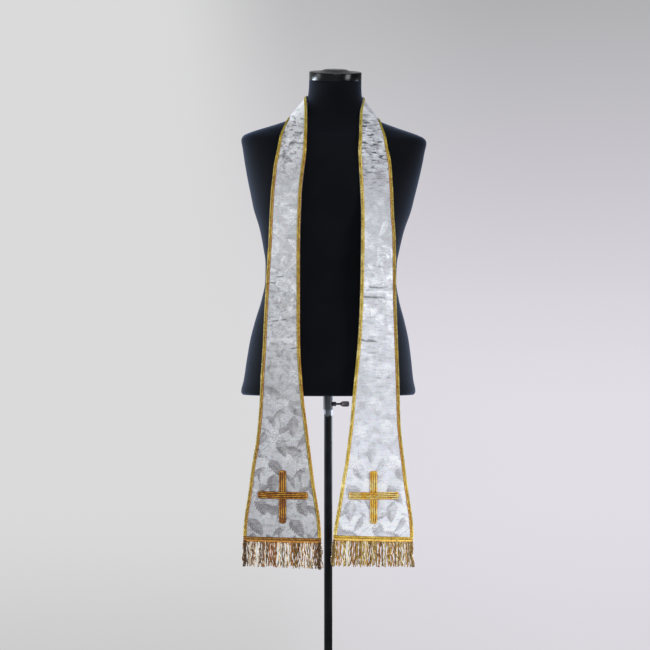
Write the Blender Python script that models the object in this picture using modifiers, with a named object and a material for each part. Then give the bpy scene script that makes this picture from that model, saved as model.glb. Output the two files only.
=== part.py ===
"""A clerical stole that hangs round the neck of a limbless dress form on a pole stand.

Metres, +Z up. The origin is on the floor, on the pole's axis, and the form faces -Y.
Left and right are the viewer's, who looks along +Y at the front of the form.
Heights on the form and on the stole are measured from the form's flat lower cut.
"""

from collections import namedtuple
from math import atan, copysign, cos, pi, radians, sin, tan

import bpy
from mathutils import Euler, Matrix, Vector
from mathutils.bvhtree import BVHTree

FIT_GAP = 0.0003  # between faces that meet
OVERLAP = 0.0010  # of solids that are joined, and of a cutter past the face it opens
ROUND_SIDES = 32

# The stand
BASE_RADIUS = 0.170
BASE_THICKNESS = 0.008
BASE_EDGE = 0.002
SOCKET_FOOT_RADIUS = 0.030
SOCKET_FOOT_HEIGHT = 0.006
BASE_SOCKET_RADIUS = 0.0165
BASE_SOCKET_HEIGHT = 0.050
POLE_RADIUS = 0.0095
POLE_INSERTION = 0.100  # how far the pole reaches into the form at rest
POLE_EDGE = 0.001

# The tube that holds the form on the pole, and its clamp screw
TUBE_RADIUS = 0.0112
TUBE_DROP = 0.0350  # below the form's cut
TUBE_REACH = 0.3700  # above the form's cut, inside the form
BORE_REACH = 0.3900
SCREW_DROP = 0.0220
BOSS_RADIUS = 0.0058
BOSS_START = 0.0104  # from the pole's axis, inside the tube's wall
BOSS_END = 0.0180
SHANK_RADIUS = 0.0026
SHANK_END = 0.0290
HEAD_NECK_RADIUS = 0.0045
HEAD_NECK_LENGTH = 0.0025
HEAD_LENGTH = 0.0180
HEAD_HEIGHT = 0.0125
HEAD_THICKNESS = 0.0042
HEAD_EDGE = 0.0015

# The form
FORM_BASE_Z = 0.811
FORM_BASE = Vector((0, 0, FORM_BASE_Z))
FORM_LEAN = 0.0225  # sideways for each metre of height
SHOULDER_TILT = 0.0180  # how much lower the shoulders are for each metre to the right
SHOULDER_HEIGHT = 0.5800
FORM_SIDES = 48
LONGEST_FORM_STEP = 0.022
CAP_RADIUS = 0.0600
CAP_HEIGHT = 0.0180
CAP_DISC_RADIUS = 0.0402
CAP_DISC_TOP_RADIUS = 0.0243
CAP_DISC_HEIGHT = 0.0056
CAP_EDGE = 0.0020

# height: of the section's widest line above the form's cut; half_width: to each side
# forward: how far the widest line lies in front of the pole's plane
# front, back: depths from the widest line; squareness: 2 is an ellipse, more is boxier
# tilt: degrees by which the section's front edge drops
Section = namedtuple("Section", "height half_width forward front back squareness tilt")
FORM_SECTIONS = [
    Section(0.0000, 0.1965, 0.0000, 0.1060, 0.1110, 2.30, 0),
    Section(0.0060, 0.2005, 0.0000, 0.1100, 0.1150, 2.30, 0),
    Section(0.0330, 0.1950, 0.0000, 0.1110, 0.1170, 2.30, 0),
    Section(0.0790, 0.1890, 0.0000, 0.1120, 0.1190, 2.30, 0),
    Section(0.1250, 0.1820, 0.0000, 0.1100, 0.1170, 2.30, 0),
    Section(0.1710, 0.1710, 0.0000, 0.1060, 0.1100, 2.30, 0),
    Section(0.2170, 0.1580, 0.0000, 0.1010, 0.1000, 2.30, 0),
    Section(0.2620, 0.1505, 0.0000, 0.0970, 0.0900, 2.30, 0),
    Section(0.3000, 0.1510, 0.0000, 0.0970, 0.0850, 2.30, 0),
    Section(0.3320, 0.1560, 0.0000, 0.1010, 0.0850, 2.35, 0),
    Section(0.3780, 0.1660, 0.0000, 0.1100, 0.0890, 2.40, 0),
    Section(0.4240, 0.1810, 0.0000, 0.1200, 0.0950, 2.40, 0),
    Section(0.4550, 0.1880, 0.0000, 0.1220, 0.0980, 2.40, 0),
    Section(0.4900, 0.1960, 0.0000, 0.1170, 0.1000, 2.40, 0),
    Section(0.5300, 0.2040, 0.0000, 0.1060, 0.1010, 2.40, 0),
    Section(0.5620, 0.2095, 0.0000, 0.0940, 0.1000, 2.40, 0),
    Section(0.5805, 0.2130, 0.0000, 0.0860, 0.0970, 2.30, 0),
    Section(0.5880, 0.2105, 0.0000, 0.0820, 0.0935, 2.20, 0),
    Section(0.5943, 0.2030, 0.0000, 0.0780, 0.0900, 2.10, 0),
    Section(0.6035, 0.1790, 0.0000, 0.0740, 0.0850, 2.05, 0),
    Section(0.6127, 0.1500, 0.0000, 0.0700, 0.0800, 2.00, 0),
    Section(0.6219, 0.1230, 0.0000, 0.0670, 0.0750, 2.00, 0),
    Section(0.6311, 0.0995, 0.0010, 0.0630, 0.0700, 2.00, 0),
    Section(0.6415, 0.0850, 0.0020, 0.0600, 0.0670, 2.00, 0),
    Section(0.6540, 0.0755, 0.0040, 0.0580, 0.0640, 2.00, 0),
    Section(0.6690, 0.0670, 0.0070, 0.0565, 0.0615, 2.00, 0),
    Section(0.6850, 0.0620, 0.0100, 0.0570, 0.0600, 2.00, 4),
    Section(0.7010, 0.0605, 0.0130, 0.0580, 0.0590, 2.00, 8),
    Section(0.7210, 0.0600, 0.0165, 0.0590, 0.0590, 2.00, 12),
]

# The stole
CLOTH_WALL = 0.0020
CLOTH_GAP = 0.0010  # between the cloth and the form where it lies on it
BRAID_WIDTH = 0.0080
BRAID_WALL = 0.0012
INNER_CELLS = 6  # across the cloth, between its two edge braids
FRINGE_WALL = 0.0030
FRINGE_CELLS = 3  # down the fringe
CROSS_BRAID_WIDTH = 0.0167
CROSS_BRAID_WALL = 0.0020
CROSS_CELLS = 10
BAR_RAMP = 0.0050  # over which the bar climbs onto the upright

# Round the neck, from the seam at the centre back to the collarbone. side is measured from
# the form's centre line, forward from the pole's plane. share: how much of its half's
# inward shift the row takes. steps: cells to the next row.
NeckRow = namedtuple(
    "NeckRow",
    "inner_side inner_forward inner_height outer_side outer_forward outer_height share steps",
)
NECK_ROWS = [
    NeckRow(0.00015, -0.0525, 0.6790, 0.00015, -0.0815, 0.6145, 0.0, 3),
    NeckRow(0.0310, -0.0455, 0.6800, 0.0460, -0.0765, 0.6165, 0.0, 3),
    NeckRow(0.0510, -0.0290, 0.6830, 0.0800, -0.0600, 0.6240, 0.0, 2),
    NeckRow(0.0625, -0.0090, 0.6850, 0.0985, -0.0310, 0.6300, 0.0, 2),
    NeckRow(0.0645, 0.0110, 0.6825, 0.1030, 0.0000, 0.6310, 0.3, 2),
    NeckRow(0.0640, 0.0240, 0.6740, 0.1065, 0.0310, 0.6205, 0.7, 2),
    NeckRow(0.0625, 0.0420, 0.6530, 0.1120, 0.0510, 0.6055, 1.0, 2),
    NeckRow(0.0615, 0.0570, 0.6300, 0.1190, 0.0650, 0.5890, 1.0, 2),
    NeckRow(0.0610, 0.0690, 0.6060, 0.1230, 0.0750, 0.5720, 1.0, 2),
    NeckRow(0.0610, 0.0800, 0.5830, 0.1255, 0.0820, 0.5570, 1.0, 2),
]

# Down the front to the hem. height: of the inner edge; slant: how much lower the outer edge
# lies; inner, outer: distances of the edges from the pole; bow: how far the middle stands
# forward of a straight line between the edges.
FrontRow = namedtuple(
    "FrontRow", "height slant inner outer inner_forward outer_forward bow steps"
)
LEFT_ROWS = [
    FrontRow(0.5560, 0.0160, 0.0483, 0.1165, 0.0935, 0.0855, 0.0000, 3),
    FrontRow(0.5150, 0.0080, 0.0530, 0.1225, 0.1090, 0.0930, 0.0000, 4),
    FrontRow(0.4590, 0.0020, 0.0588, 0.1280, 0.1225, 0.1035, 0.0000, 3),
    FrontRow(0.4090, 0.0000, 0.0609, 0.1307, 0.1240, 0.1050, 0.0010, 3),
    FrontRow(0.3490, 0.0000, 0.0628, 0.1330, 0.1240, 0.1060, 0.0020, 2),
    FrontRow(0.2890, 0.0000, 0.0631, 0.1370, 0.1235, 0.1065, 0.0025, 2),
    FrontRow(0.2290, 0.0000, 0.0631, 0.1403, 0.1235, 0.1075, 0.0030, 2),
    FrontRow(0.1690, 0.0000, 0.0631, 0.1435, 0.1240, 0.1085, 0.0030, 2),
    FrontRow(0.1090, 0.0000, 0.0625, 0.1460, 0.1245, 0.1095, 0.0035, 2),
    FrontRow(0.0490, 0.0000, 0.0590, 0.1500, 0.1245, 0.1105, 0.0040, 2),
    FrontRow(-0.0110, 0.0000, 0.0538, 0.1530, 0.1240, 0.1115, 0.0040, 2),
    FrontRow(-0.0610, 0.0000, 0.0475, 0.1567, 0.1235, 0.1120, 0.0045, 2),
    FrontRow(-0.1110, -0.0010, 0.0413, 0.1625, 0.1230, 0.1125, 0.0045, 2),
    FrontRow(-0.1510, -0.0020, 0.0363, 0.1695, 0.1225, 0.1130, 0.0045, 1),
    FrontRow(-0.1910, -0.0025, 0.0313, 0.1750, 0.1220, 0.1135, 0.0045, 1),
    FrontRow(-0.2310, -0.0030, 0.0251, 0.1800, 0.1215, 0.1140, 0.0040, 1),
    FrontRow(-0.2710, -0.0035, 0.0188, 0.1868, 0.1210, 0.1145, 0.0035, 1),
    FrontRow(-0.3160, -0.0040, 0.0155, 0.1903, 0.1205, 0.1150, 0.0030, 1),
    FrontRow(-0.3280, -0.0040, 0.0160, 0.1896, 0.1205, 0.1150, 0.0030, 0),
]
RIGHT_ROWS = [
    FrontRow(0.5560, 0.0160, 0.0668, 0.1372, 0.0935, 0.0855, 0.0000, 3),
    FrontRow(0.5150, 0.0080, 0.0683, 0.1413, 0.1090, 0.0930, 0.0000, 4),
    FrontRow(0.4590, 0.0020, 0.0709, 0.1448, 0.1210, 0.1010, 0.0000, 3),
    FrontRow(0.4090, 0.0000, 0.0729, 0.1465, 0.1225, 0.1020, 0.0010, 3),
    FrontRow(0.3490, 0.0000, 0.0729, 0.1505, 0.1230, 0.1030, 0.0020, 2),
    FrontRow(0.2890, 0.0000, 0.0721, 0.1510, 0.1230, 0.1040, 0.0025, 2),
    FrontRow(0.2290, 0.0000, 0.0707, 0.1515, 0.1230, 0.1050, 0.0030, 2),
    FrontRow(0.1690, 0.0000, 0.0684, 0.1533, 0.1235, 0.1065, 0.0030, 2),
    FrontRow(0.1090, 0.0000, 0.0645, 0.1554, 0.1240, 0.1080, 0.0035, 2),
    FrontRow(0.0490, 0.0000, 0.0585, 0.1576, 0.1240, 0.1095, 0.0040, 2),
    FrontRow(-0.0110, 0.0000, 0.0528, 0.1595, 0.1240, 0.1105, 0.0040, 2),
    FrontRow(-0.0610, 0.0005, 0.0484, 0.1610, 0.1235, 0.1110, 0.0045, 2),
    FrontRow(-0.1110, 0.0015, 0.0422, 0.1661, 0.1230, 0.1115, 0.0045, 2),
    FrontRow(-0.1510, 0.0025, 0.0372, 0.1711, 0.1225, 0.1120, 0.0045, 1),
    FrontRow(-0.1910, 0.0035, 0.0299, 0.1761, 0.1220, 0.1125, 0.0045, 1),
    FrontRow(-0.2310, 0.0045, 0.0238, 0.1823, 0.1215, 0.1130, 0.0040, 1),
    FrontRow(-0.2710, 0.0050, 0.0168, 0.1882, 0.1210, 0.1135, 0.0035, 1),
    FrontRow(-0.3090, 0.0050, 0.0108, 0.1905, 0.1205, 0.1140, 0.0030, 1),
    FrontRow(-0.3210, 0.0050, 0.0118, 0.1892, 0.1205, 0.1140, 0.0030, 0),
]

# hand: -1 for the left half, 1 for the right; inward: its shift towards the neck at the front
Half = namedtuple("Half", "hand inward rows")
HALVES = {"left": Half(-1, 0.0000, LEFT_ROWS), "right": Half(1, 0.0050, RIGHT_ROWS)}

# The loose end of each fringe: its corners' distances from the pole and their heights
Tip = namedtuple("Tip", "inner outer inner_height outer_height")
FRINGE_TIPS = {
    "left": Tip(0.0156, 0.1918, -0.3860, -0.3795),
    "right": Tip(0.0085, 0.1900, -0.3792, -0.3816),
}

# The crosses. side: of the upright's middle; top, foot: of the upright; bar_drop: how much
# lower than its middle the bar's right end lies; bar_half: half the bar's length
Cross = namedtuple("Cross", "side top foot bar_height bar_drop bar_half")
CROSSES = {
    "left": Cross(0.1017, -0.1652, -0.2830, -0.2200, 0.0011, 0.0552),
    "right": Cross(0.1010, -0.1666, -0.2839, -0.2212, 0.0000, 0.0551),
}

for old in list(bpy.data.objects):
    bpy.data.objects.remove(old)

parts = bpy.data.collections.new("clerical_stole_on_dress_form")
cutters = bpy.data.collections.new("cutters")
bpy.context.scene.collection.children.link(parts)
bpy.context.scene.collection.children.link(cutters)


def material(name, colour, roughness, metallic=0.0):
    made = bpy.data.materials.new(name)
    made.use_nodes = True
    shader = made.node_tree.nodes["Principled BSDF"]
    shader.inputs["Base Color"].default_value = (*colour, 1)
    shader.inputs["Roughness"].default_value = roughness
    shader.inputs["Metallic"].default_value = metallic
    made.diffuse_color = (*colour, 1)
    return made


BROCADE = material("brocade", (0.62, 0.63, 0.67), 0.45)
GOLD_BRAID = material("gold_braid", (0.52, 0.33, 0.06), 0.40, 0.6)
GOLD_FRINGE = material("gold_fringe", (0.42, 0.30, 0.14), 0.50, 0.4)
BLACK_JERSEY = material("black_jersey", (0.010, 0.011, 0.015), 0.85)
GLOSS_BLACK = material("gloss_black", (0.012, 0.012, 0.014), 0.15)
BLACK_PAINT = material("black_paint", (0.015, 0.015, 0.017), 0.35)
DARK_STEEL = material("dark_steel", (0.08, 0.08, 0.09), 0.35, 0.9)


def place(made, name, finish):
    """Gives a new object its name and finish, and moves it to the object's own collection."""
    made.name = made.data.name = name
    made.data.materials.clear()
    made.data.materials.append(finish)
    for holder in list(made.users_collection):
        holder.objects.unlink(made)
    parts.objects.link(made)
    return made


def mesh_object(name, finish, points, faces):
    mesh = bpy.data.meshes.new(name)
    mesh.from_pydata([tuple(point) for point in points], [], faces)
    mesh.update()
    return place(bpy.data.objects.new(name, mesh), name, finish)


def cylinder(name, finish, radius, low, high, axis="Z"):
    """A round bar on the pole's axis, or along +X at the clamp screw's height."""
    bpy.ops.mesh.primitive_cylinder_add(
        vertices=ROUND_SIDES, radius=radius, depth=high - low, location=(0, 0, (low + high) / 2)
    )
    made = place(bpy.context.object, name, finish)
    made.data.transform(Matrix.Translation(made.location))
    made.location = (0, 0, 0)
    if axis == "X":
        made.data.transform(Matrix.Rotation(pi / 2, 4, "Y"))
        made.location.z = FORM_BASE_Z - SCREW_DROP
    return made


def turned(name, finish, profile):
    """Turns a closed profile of (radius, height) points about Z. It runs down its outer side."""
    mesh = bpy.data.meshes.new(name)
    edges = [(i, (i + 1) % len(profile)) for i in range(len(profile))]
    if profile[0][0] == 0:
        edges.pop()
    mesh.from_pydata([(radius, 0, height) for radius, height in profile], edges, [])
    made = place(bpy.data.objects.new(name, mesh), name, finish)
    screw = made.modifiers.new("turn", "SCREW")
    screw.steps = screw.render_steps = ROUND_SIDES
    screw.use_merge_vertices = True
    screw.merge_threshold = 0.00001
    return made


def bevel(made, width, segments=2):
    rounded = made.modifiers.new("bevel", "BEVEL")
    rounded.width = width
    rounded.segments = segments
    rounded.limit_method = "ANGLE"
    rounded.angle_limit = radians(40)


def cut(made, cutter):
    """Cuts one object away from another and keeps the cutter out of the build."""
    parts.objects.unlink(cutter)
    cutters.objects.link(cutter)
    cutter.hide_render = True
    cutter.display_type = "WIRE"
    boolean = made.modifiers.new("cut", "BOOLEAN")
    boolean.operation = "DIFFERENCE"
    boolean.object = cutter


def join(made, other):
    """Makes another object part of this one."""
    cut(made, other)
    made.modifiers[-1].operation = "UNION"


def eased(knots, values, at):
    """A smooth curve through the values that never swings past them."""
    last = len(knots) - 1
    k = max(i for i in range(last) if knots[i] <= at or i == 0)
    slopes = [
        (values[i + 1] - values[i]) / (knots[i + 1] - knots[i]) for i in range(last)
    ]

    def tangent(i):
        if i in (0, last):
            return slopes[min(i, last - 1)]
        before, after = slopes[i - 1], slopes[i]
        return 0 if before * after <= 0 else 2 * before * after / (before + after)

    span = knots[k + 1] - knots[k]
    t = (at - knots[k]) / span
    return (
        (2 * t**3 - 3 * t**2 + 1) * values[k]
        + (t**3 - 2 * t**2 + t) * span * tangent(k)
        + (3 * t**2 - 2 * t**3) * values[k + 1]
        + (t**3 - t**2) * span * tangent(k + 1)
    )


def section_at(height):
    """The form's section at any height between the table's rows."""
    heights = [row.height for row in FORM_SECTIONS]
    columns = zip(*FORM_SECTIONS)
    return Section(*(eased(heights, column, height) for column in columns))


def leaned(side, back, height):
    """A point of the upright form, moved to where the lean puts it. The lower cut stays level."""
    drop = SHOULDER_TILT * side * min(1, height / SHOULDER_HEIGHT)
    return Vector((side + FORM_LEAN * height, back, height - drop))


def section_ring(section):
    """The points round one section, counter-clockwise from above."""
    ring = []
    for i in range(FORM_SIDES):
        across, along = cos(2 * pi * i / FORM_SIDES), sin(2 * pi * i / FORM_SIDES)
        depth = section.back if along > 0 else section.front
        power = 2 / section.squareness
        from_line = copysign(depth * abs(along) ** power, along)
        height = section.height + tan(radians(section.tilt)) * from_line
        side = copysign(section.half_width * abs(across) ** power, across)
        ring.append(leaned(side, from_line - section.forward, height) + FORM_BASE)
    return ring


def make_torso():
    """One closed skin through the sections, with a blind bore for the tube."""
    heights = [FORM_SECTIONS[0].height]
    for row in FORM_SECTIONS[1:]:
        step = row.height - heights[-1]
        start = heights[-1]
        shares = max(1, round(step / LONGEST_FORM_STEP))
        heights += [start + step * (i + 1) / shares for i in range(shares)]
    rings = [section_ring(section_at(height)) for height in heights]
    points = [point for ring in rings for point in ring]
    faces = [
        (
            r * FORM_SIDES + i,
            r * FORM_SIDES + (i + 1) % FORM_SIDES,
            (r + 1) * FORM_SIDES + (i + 1) % FORM_SIDES,
            (r + 1) * FORM_SIDES + i,
        )
        for r in range(len(rings) - 1)
        for i in range(FORM_SIDES)
    ]
    faces.append(tuple(reversed(range(FORM_SIDES))))
    faces.append(tuple(range(len(points) - FORM_SIDES, len(points))))
    torso = mesh_object("torso", BLACK_JERSEY, points, faces)
    bore_low, bore_high = FORM_BASE_Z - OVERLAP, FORM_BASE_Z + BORE_REACH
    cut(torso, cylinder("bore_cutter", BLACK_JERSEY, TUBE_RADIUS + FIT_GAP, bore_low, bore_high))
    return BVHTree.FromPolygons(points, faces)


def make_cap():
    """The lid on the neck: a rim as wide as the neck and a raised, sloping disc, tilted with it."""
    top = FORM_SECTIONS[-1]
    step = CAP_EDGE * (1 - cos(pi / 4))  # of the rounded edges' middle point
    rim_top = CAP_HEIGHT
    disc_top = CAP_HEIGHT + CAP_DISC_HEIGHT
    profile = [
        (0, disc_top),
        (CAP_DISC_TOP_RADIUS, disc_top),
        (CAP_DISC_RADIUS, rim_top),
        (CAP_RADIUS - CAP_EDGE, rim_top),
        (CAP_RADIUS - step, rim_top - step),
        (CAP_RADIUS, rim_top - CAP_EDGE),
        (CAP_RADIUS, 0),
        (0, 0),
    ]
    cap = turned("neck_cap", GLOSS_BLACK, profile)
    tilt = Euler((radians(top.tilt), atan(SHOULDER_TILT), 0))
    cap.rotation_euler = tilt
    seat = FORM_BASE + leaned(0, -top.forward, top.height)
    cap.location = seat + tilt.to_matrix() @ Vector((0, 0, FIT_GAP))


def make_stand():
    plate = cylinder("base_plate", BLACK_PAINT, BASE_RADIUS, 0, BASE_THICKNESS)
    bevel(plate, BASE_EDGE)
    low = BASE_THICKNESS + FIT_GAP
    bore = POLE_RADIUS + FIT_GAP
    turned(
        "base_socket",
        BLACK_PAINT,
        [
            (bore, low + BASE_SOCKET_HEIGHT),
            (BASE_SOCKET_RADIUS - POLE_EDGE, low + BASE_SOCKET_HEIGHT),
            (BASE_SOCKET_RADIUS, low + BASE_SOCKET_HEIGHT - POLE_EDGE),
            (BASE_SOCKET_RADIUS, low + SOCKET_FOOT_HEIGHT + POLE_EDGE),
            (BASE_SOCKET_RADIUS + POLE_EDGE, low + SOCKET_FOOT_HEIGHT),
            (SOCKET_FOOT_RADIUS - POLE_EDGE, low + SOCKET_FOOT_HEIGHT),
            (SOCKET_FOOT_RADIUS, low + SOCKET_FOOT_HEIGHT - POLE_EDGE),
            (SOCKET_FOOT_RADIUS, low),
            (bore, low),
        ],
    )
    pole = cylinder("pole", BLACK_PAINT, POLE_RADIUS, low, FORM_BASE_Z + POLE_INSERTION)
    bevel(pole, POLE_EDGE, 1)


def make_tube():
    """The tube in the form's underside, with a threaded boss on its +X side."""
    bore = POLE_RADIUS + FIT_GAP
    low, high = FORM_BASE_Z - TUBE_DROP, FORM_BASE_Z + TUBE_REACH
    tube = turned(
        "pole_tube", DARK_STEEL, [(bore, high), (TUBE_RADIUS, high), (TUBE_RADIUS, low), (bore, low)]
    )
    join(tube, cylinder("boss", DARK_STEEL, BOSS_RADIUS, BOSS_START, BOSS_END, "X"))
    hole_radius = SHANK_RADIUS + FIT_GAP
    cut(tube, cylinder("screw_hole", DARK_STEEL, hole_radius, 0, BOSS_END + OVERLAP, "X"))


def make_screw():
    """The clamp screw: a round shank, a short neck and a flat head to turn it by."""
    screw = cylinder("clamp_screw", DARK_STEEL, SHANK_RADIUS, POLE_RADIUS + FIT_GAP, SHANK_END, "X")
    neck_end = SHANK_END + HEAD_NECK_LENGTH
    neck_start = SHANK_END - OVERLAP
    join(screw, cylinder("head_neck", DARK_STEEL, HEAD_NECK_RADIUS, neck_start, neck_end, "X"))
    bpy.ops.mesh.primitive_cube_add(size=1)
    head = place(bpy.context.object, "head_blade", DARK_STEEL)
    head.data.transform(Matrix.Diagonal((HEAD_LENGTH, HEAD_THICKNESS, HEAD_HEIGHT, 1)))
    head.location = (neck_end - OVERLAP + HEAD_LENGTH / 2, 0, FORM_BASE_Z - SCREW_DROP)
    bevel(head, HEAD_EDGE)
    join(screw, head)


def control_rows(half):
    """The rows of one half of the stole: its inner edge, outer edge, bow and steps."""
    rows = []
    for row in NECK_ROWS:
        shift = half.inward * row.share
        inner_side = half.hand * (row.inner_side - shift)
        outer_side = half.hand * (row.outer_side - shift)
        inner = leaned(inner_side, -row.inner_forward, row.inner_height)
        outer = leaned(outer_side, -row.outer_forward, row.outer_height)
        rows.append((inner, outer, 0.0, row.steps))
    for row in half.rows:
        inner = Vector((half.hand * row.inner, -row.inner_forward, row.height))
        outer = Vector((half.hand * row.outer, -row.outer_forward, row.height - row.slant))
        rows.append((inner, outer, row.bow, row.steps))
    return rows


def cloth_grid(half, skin):
    """The inner face of one half: rows from the centre back to the hem, columns from the
    inner edge to the outer. The second column from each edge is where the braid ends."""
    rows = control_rows(half)
    at = [i + step / row[3] for i, row in enumerate(rows) for step in range(row[3])]
    at.append(len(rows) - 1)
    knots = list(range(len(rows)))
    grid = []
    for t in at:
        inner = Vector([eased(knots, [row[0][axis] for row in rows], t) for axis in range(3)])
        outer = Vector([eased(knots, [row[1][axis] for row in rows], t) for axis in range(3)])
        bow = eased(knots, [row[2] for row in rows], t)
        edge = BRAID_WIDTH / (outer - inner).length
        middle = [edge + (1 - 2 * edge) * i / INNER_CELLS for i in range(INNER_CELLS + 1)]
        row = []
        for f in [0, *middle, 1]:
            forward = Vector((0, -4 * f * (1 - f) * bow, 0))
            row.append(laid(inner.lerp(outer, f) + forward + FORM_BASE, skin))
        grid.append(row)
    return grid


def laid(point, skin):
    """Moves a point of the cloth out of the form, to lie just off it."""
    on_form, outward, _, _ = skin.find_nearest(point)
    if (point - on_form).dot(outward) < CLOTH_GAP:
        return on_form + outward * CLOTH_GAP
    return point


def wall(name, finish, grid, hand, thickness):
    """A grid of points as a wall of cloth that grows outwards from them."""
    width = len(grid[0])
    faces = []
    for r in range(len(grid) - 1):
        for c in range(width - 1):
            corner = r * width + c
            face = (corner, corner + 1, corner + width + 1, corner + width)
            faces.append(face if hand < 0 else face[::-1])
    made = mesh_object(name, finish, [point for row in grid for point in row], faces)
    thick = made.modifiers.new("thickness", "SOLIDIFY")
    thick.thickness = thickness
    thick.offset = 1
    return made


def moved_out(grid, panel, distance):
    """The panel's own points, moved out along its normals."""
    width = len(grid[0])
    normals = [vertex.normal for vertex in panel.data.vertices]
    return [
        [point + normals[r * width + c] * distance for c, point in enumerate(row)]
        for r, row in enumerate(grid)
    ]


def make_half(side, half, skin):
    """One half of the stole: its panel, three braids, fringe and cross."""
    grid = cloth_grid(half, skin)
    panel = wall(f"stole_panel_{side}", BROCADE, grid, half.hand, CLOTH_WALL)
    face = moved_out(grid, panel, CLOTH_WALL + FIT_GAP)
    for name, first in (("inner_braid", 0), ("outer_braid", -2)):
        edge = [row[first:][:2] for row in face[:-1]]
        edge[-1] = [
            point + (above - point).normalized() * FIT_GAP
            for point, above in zip(edge[-1], edge[-2])
        ]
        wall(f"{name}_{side}", GOLD_BRAID, edge, half.hand, BRAID_WALL)
    wall(f"hem_braid_{side}", GOLD_BRAID, face[-2:], half.hand, BRAID_WALL)
    make_fringe(side, half.hand, grid[-1])
    make_cross(side, half.hand, face)


def make_fringe(side, hand, hem):
    """A plain slab of the fringe's reach, hung from the hem."""
    tip = FRINGE_TIPS[side]
    inner = Vector((hand * tip.inner, 0, FORM_BASE_Z + tip.inner_height))
    outer = Vector((hand * tip.outer, 0, FORM_BASE_Z + tip.outer_height))
    rows = [[] for _ in range(FRINGE_CELLS + 1)]
    for point in hem:
        top = point - Vector((0, 0, FIT_GAP))
        low = inner.lerp(outer, (point.x - hem[0].x) / (hem[-1].x - hem[0].x))
        low.y = point.y
        for i, row in enumerate(rows):
            row.append(top.lerp(low, i / FRINGE_CELLS))
    wall(f"fringe_{side}", GOLD_FRINGE, rows, hand, FRINGE_WALL)


def make_cross(side, hand, face):
    """Two lengths of wide braid on the panel's face, the bar over the upright."""
    width = len(face[0])
    quads = [
        (r * width + c, r * width + c + 1, (r + 1) * width + c + 1, (r + 1) * width + c)
        for r in range(len(face) - 1)
        for c in range(width - 1)
    ]
    cloth = BVHTree.FromPolygons([point for row in face for point in row], quads)

    def on_cloth(x, height, lift):
        start = Vector((x, -1, FORM_BASE_Z + height))
        return cloth.ray_cast(start, Vector((0, 1, 0)))[0] - Vector((0, lift, 0))

    cross = CROSSES[side]
    centre = hand * cross.side
    half = CROSS_BRAID_WIDTH / 2
    upright = []
    for i in range(CROSS_CELLS + 1):
        height = cross.top + (cross.foot - cross.top) * i / CROSS_CELLS
        upright.append([on_cloth(centre + hand * x, height, 0) for x in (-half, 0, half)])
    wall(f"cross_upright_{side}", GOLD_BRAID, upright, hand, CROSS_BRAID_WALL)

    flat_half = half + FIT_GAP + CROSS_BRAID_WALL
    ramp_end = flat_half + BAR_RAMP
    mid_arm = (cross.bar_half + ramp_end) / 2
    outwards = [0, flat_half, ramp_end, mid_arm, cross.bar_half]
    bar = []
    for offset in (half, 0, -half):
        row = []
        for along in [-x for x in outwards[:0:-1]] + outwards:
            lift = FIT_GAP
            if abs(along) <= flat_half:
                lift += CROSS_BRAID_WALL + FIT_GAP
            x = centre + hand * along
            drop = cross.bar_drop * hand * along / cross.bar_half
            row.append(on_cloth(x, cross.bar_height + offset - drop, lift))
        bar.append(row)
    wall(f"cross_bar_{side}", GOLD_BRAID, bar, hand, CROSS_BRAID_WALL)


form_skin = make_torso()
make_cap()
make_stand()
make_tube()
make_screw()
for side_name, stole_half in HALVES.items():
    make_half(side_name, stole_half, form_skin)
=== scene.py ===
"""The looks of a clerical stole that hangs round the neck of a limbless dress form on a stand.

Metres, +Z up. The origin is on the floor, on the pole's axis, and the form faces -Y.
Left and right are the viewer's, who looks along +Y at the front of the form.
"""

import random
from collections import namedtuple
from math import atan, ceil, copysign, cos, pi, radians, sin, tan

import bpy
import numpy as np
from mathutils import Euler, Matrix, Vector
from mathutils.bvhtree import BVHTree


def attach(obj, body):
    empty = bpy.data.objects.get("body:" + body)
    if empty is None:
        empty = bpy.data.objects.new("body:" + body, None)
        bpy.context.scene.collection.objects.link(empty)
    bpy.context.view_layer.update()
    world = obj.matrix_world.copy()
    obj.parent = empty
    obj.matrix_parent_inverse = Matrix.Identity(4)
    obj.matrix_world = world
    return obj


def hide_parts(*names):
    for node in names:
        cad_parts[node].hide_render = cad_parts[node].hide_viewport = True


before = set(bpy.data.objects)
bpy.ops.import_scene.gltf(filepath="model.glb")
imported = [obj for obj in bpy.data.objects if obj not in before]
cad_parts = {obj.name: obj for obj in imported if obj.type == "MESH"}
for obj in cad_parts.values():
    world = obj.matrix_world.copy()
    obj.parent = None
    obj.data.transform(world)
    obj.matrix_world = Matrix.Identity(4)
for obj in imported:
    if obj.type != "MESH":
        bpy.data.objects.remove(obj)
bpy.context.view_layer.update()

# ---------------------------------------------------------------------------------------
# The camera stands four metres in front of the form, level with its hips, and looks
# straight ahead through a long lens.
CAMERA_PLACE = (-0.0074, -4.0, 0.9706)
PICTURE_WIDTH = 1.495  # at the pole
SENSOR = 36.0

bpy.ops.object.camera_add(location=CAMERA_PLACE, rotation=(pi / 2, 0, 0))
camera = bpy.context.object
camera.data.sensor_width = SENSOR
camera.data.lens = SENSOR * -CAMERA_PLACE[1] / PICTURE_WIDTH
bpy.context.scene.camera = camera

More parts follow.
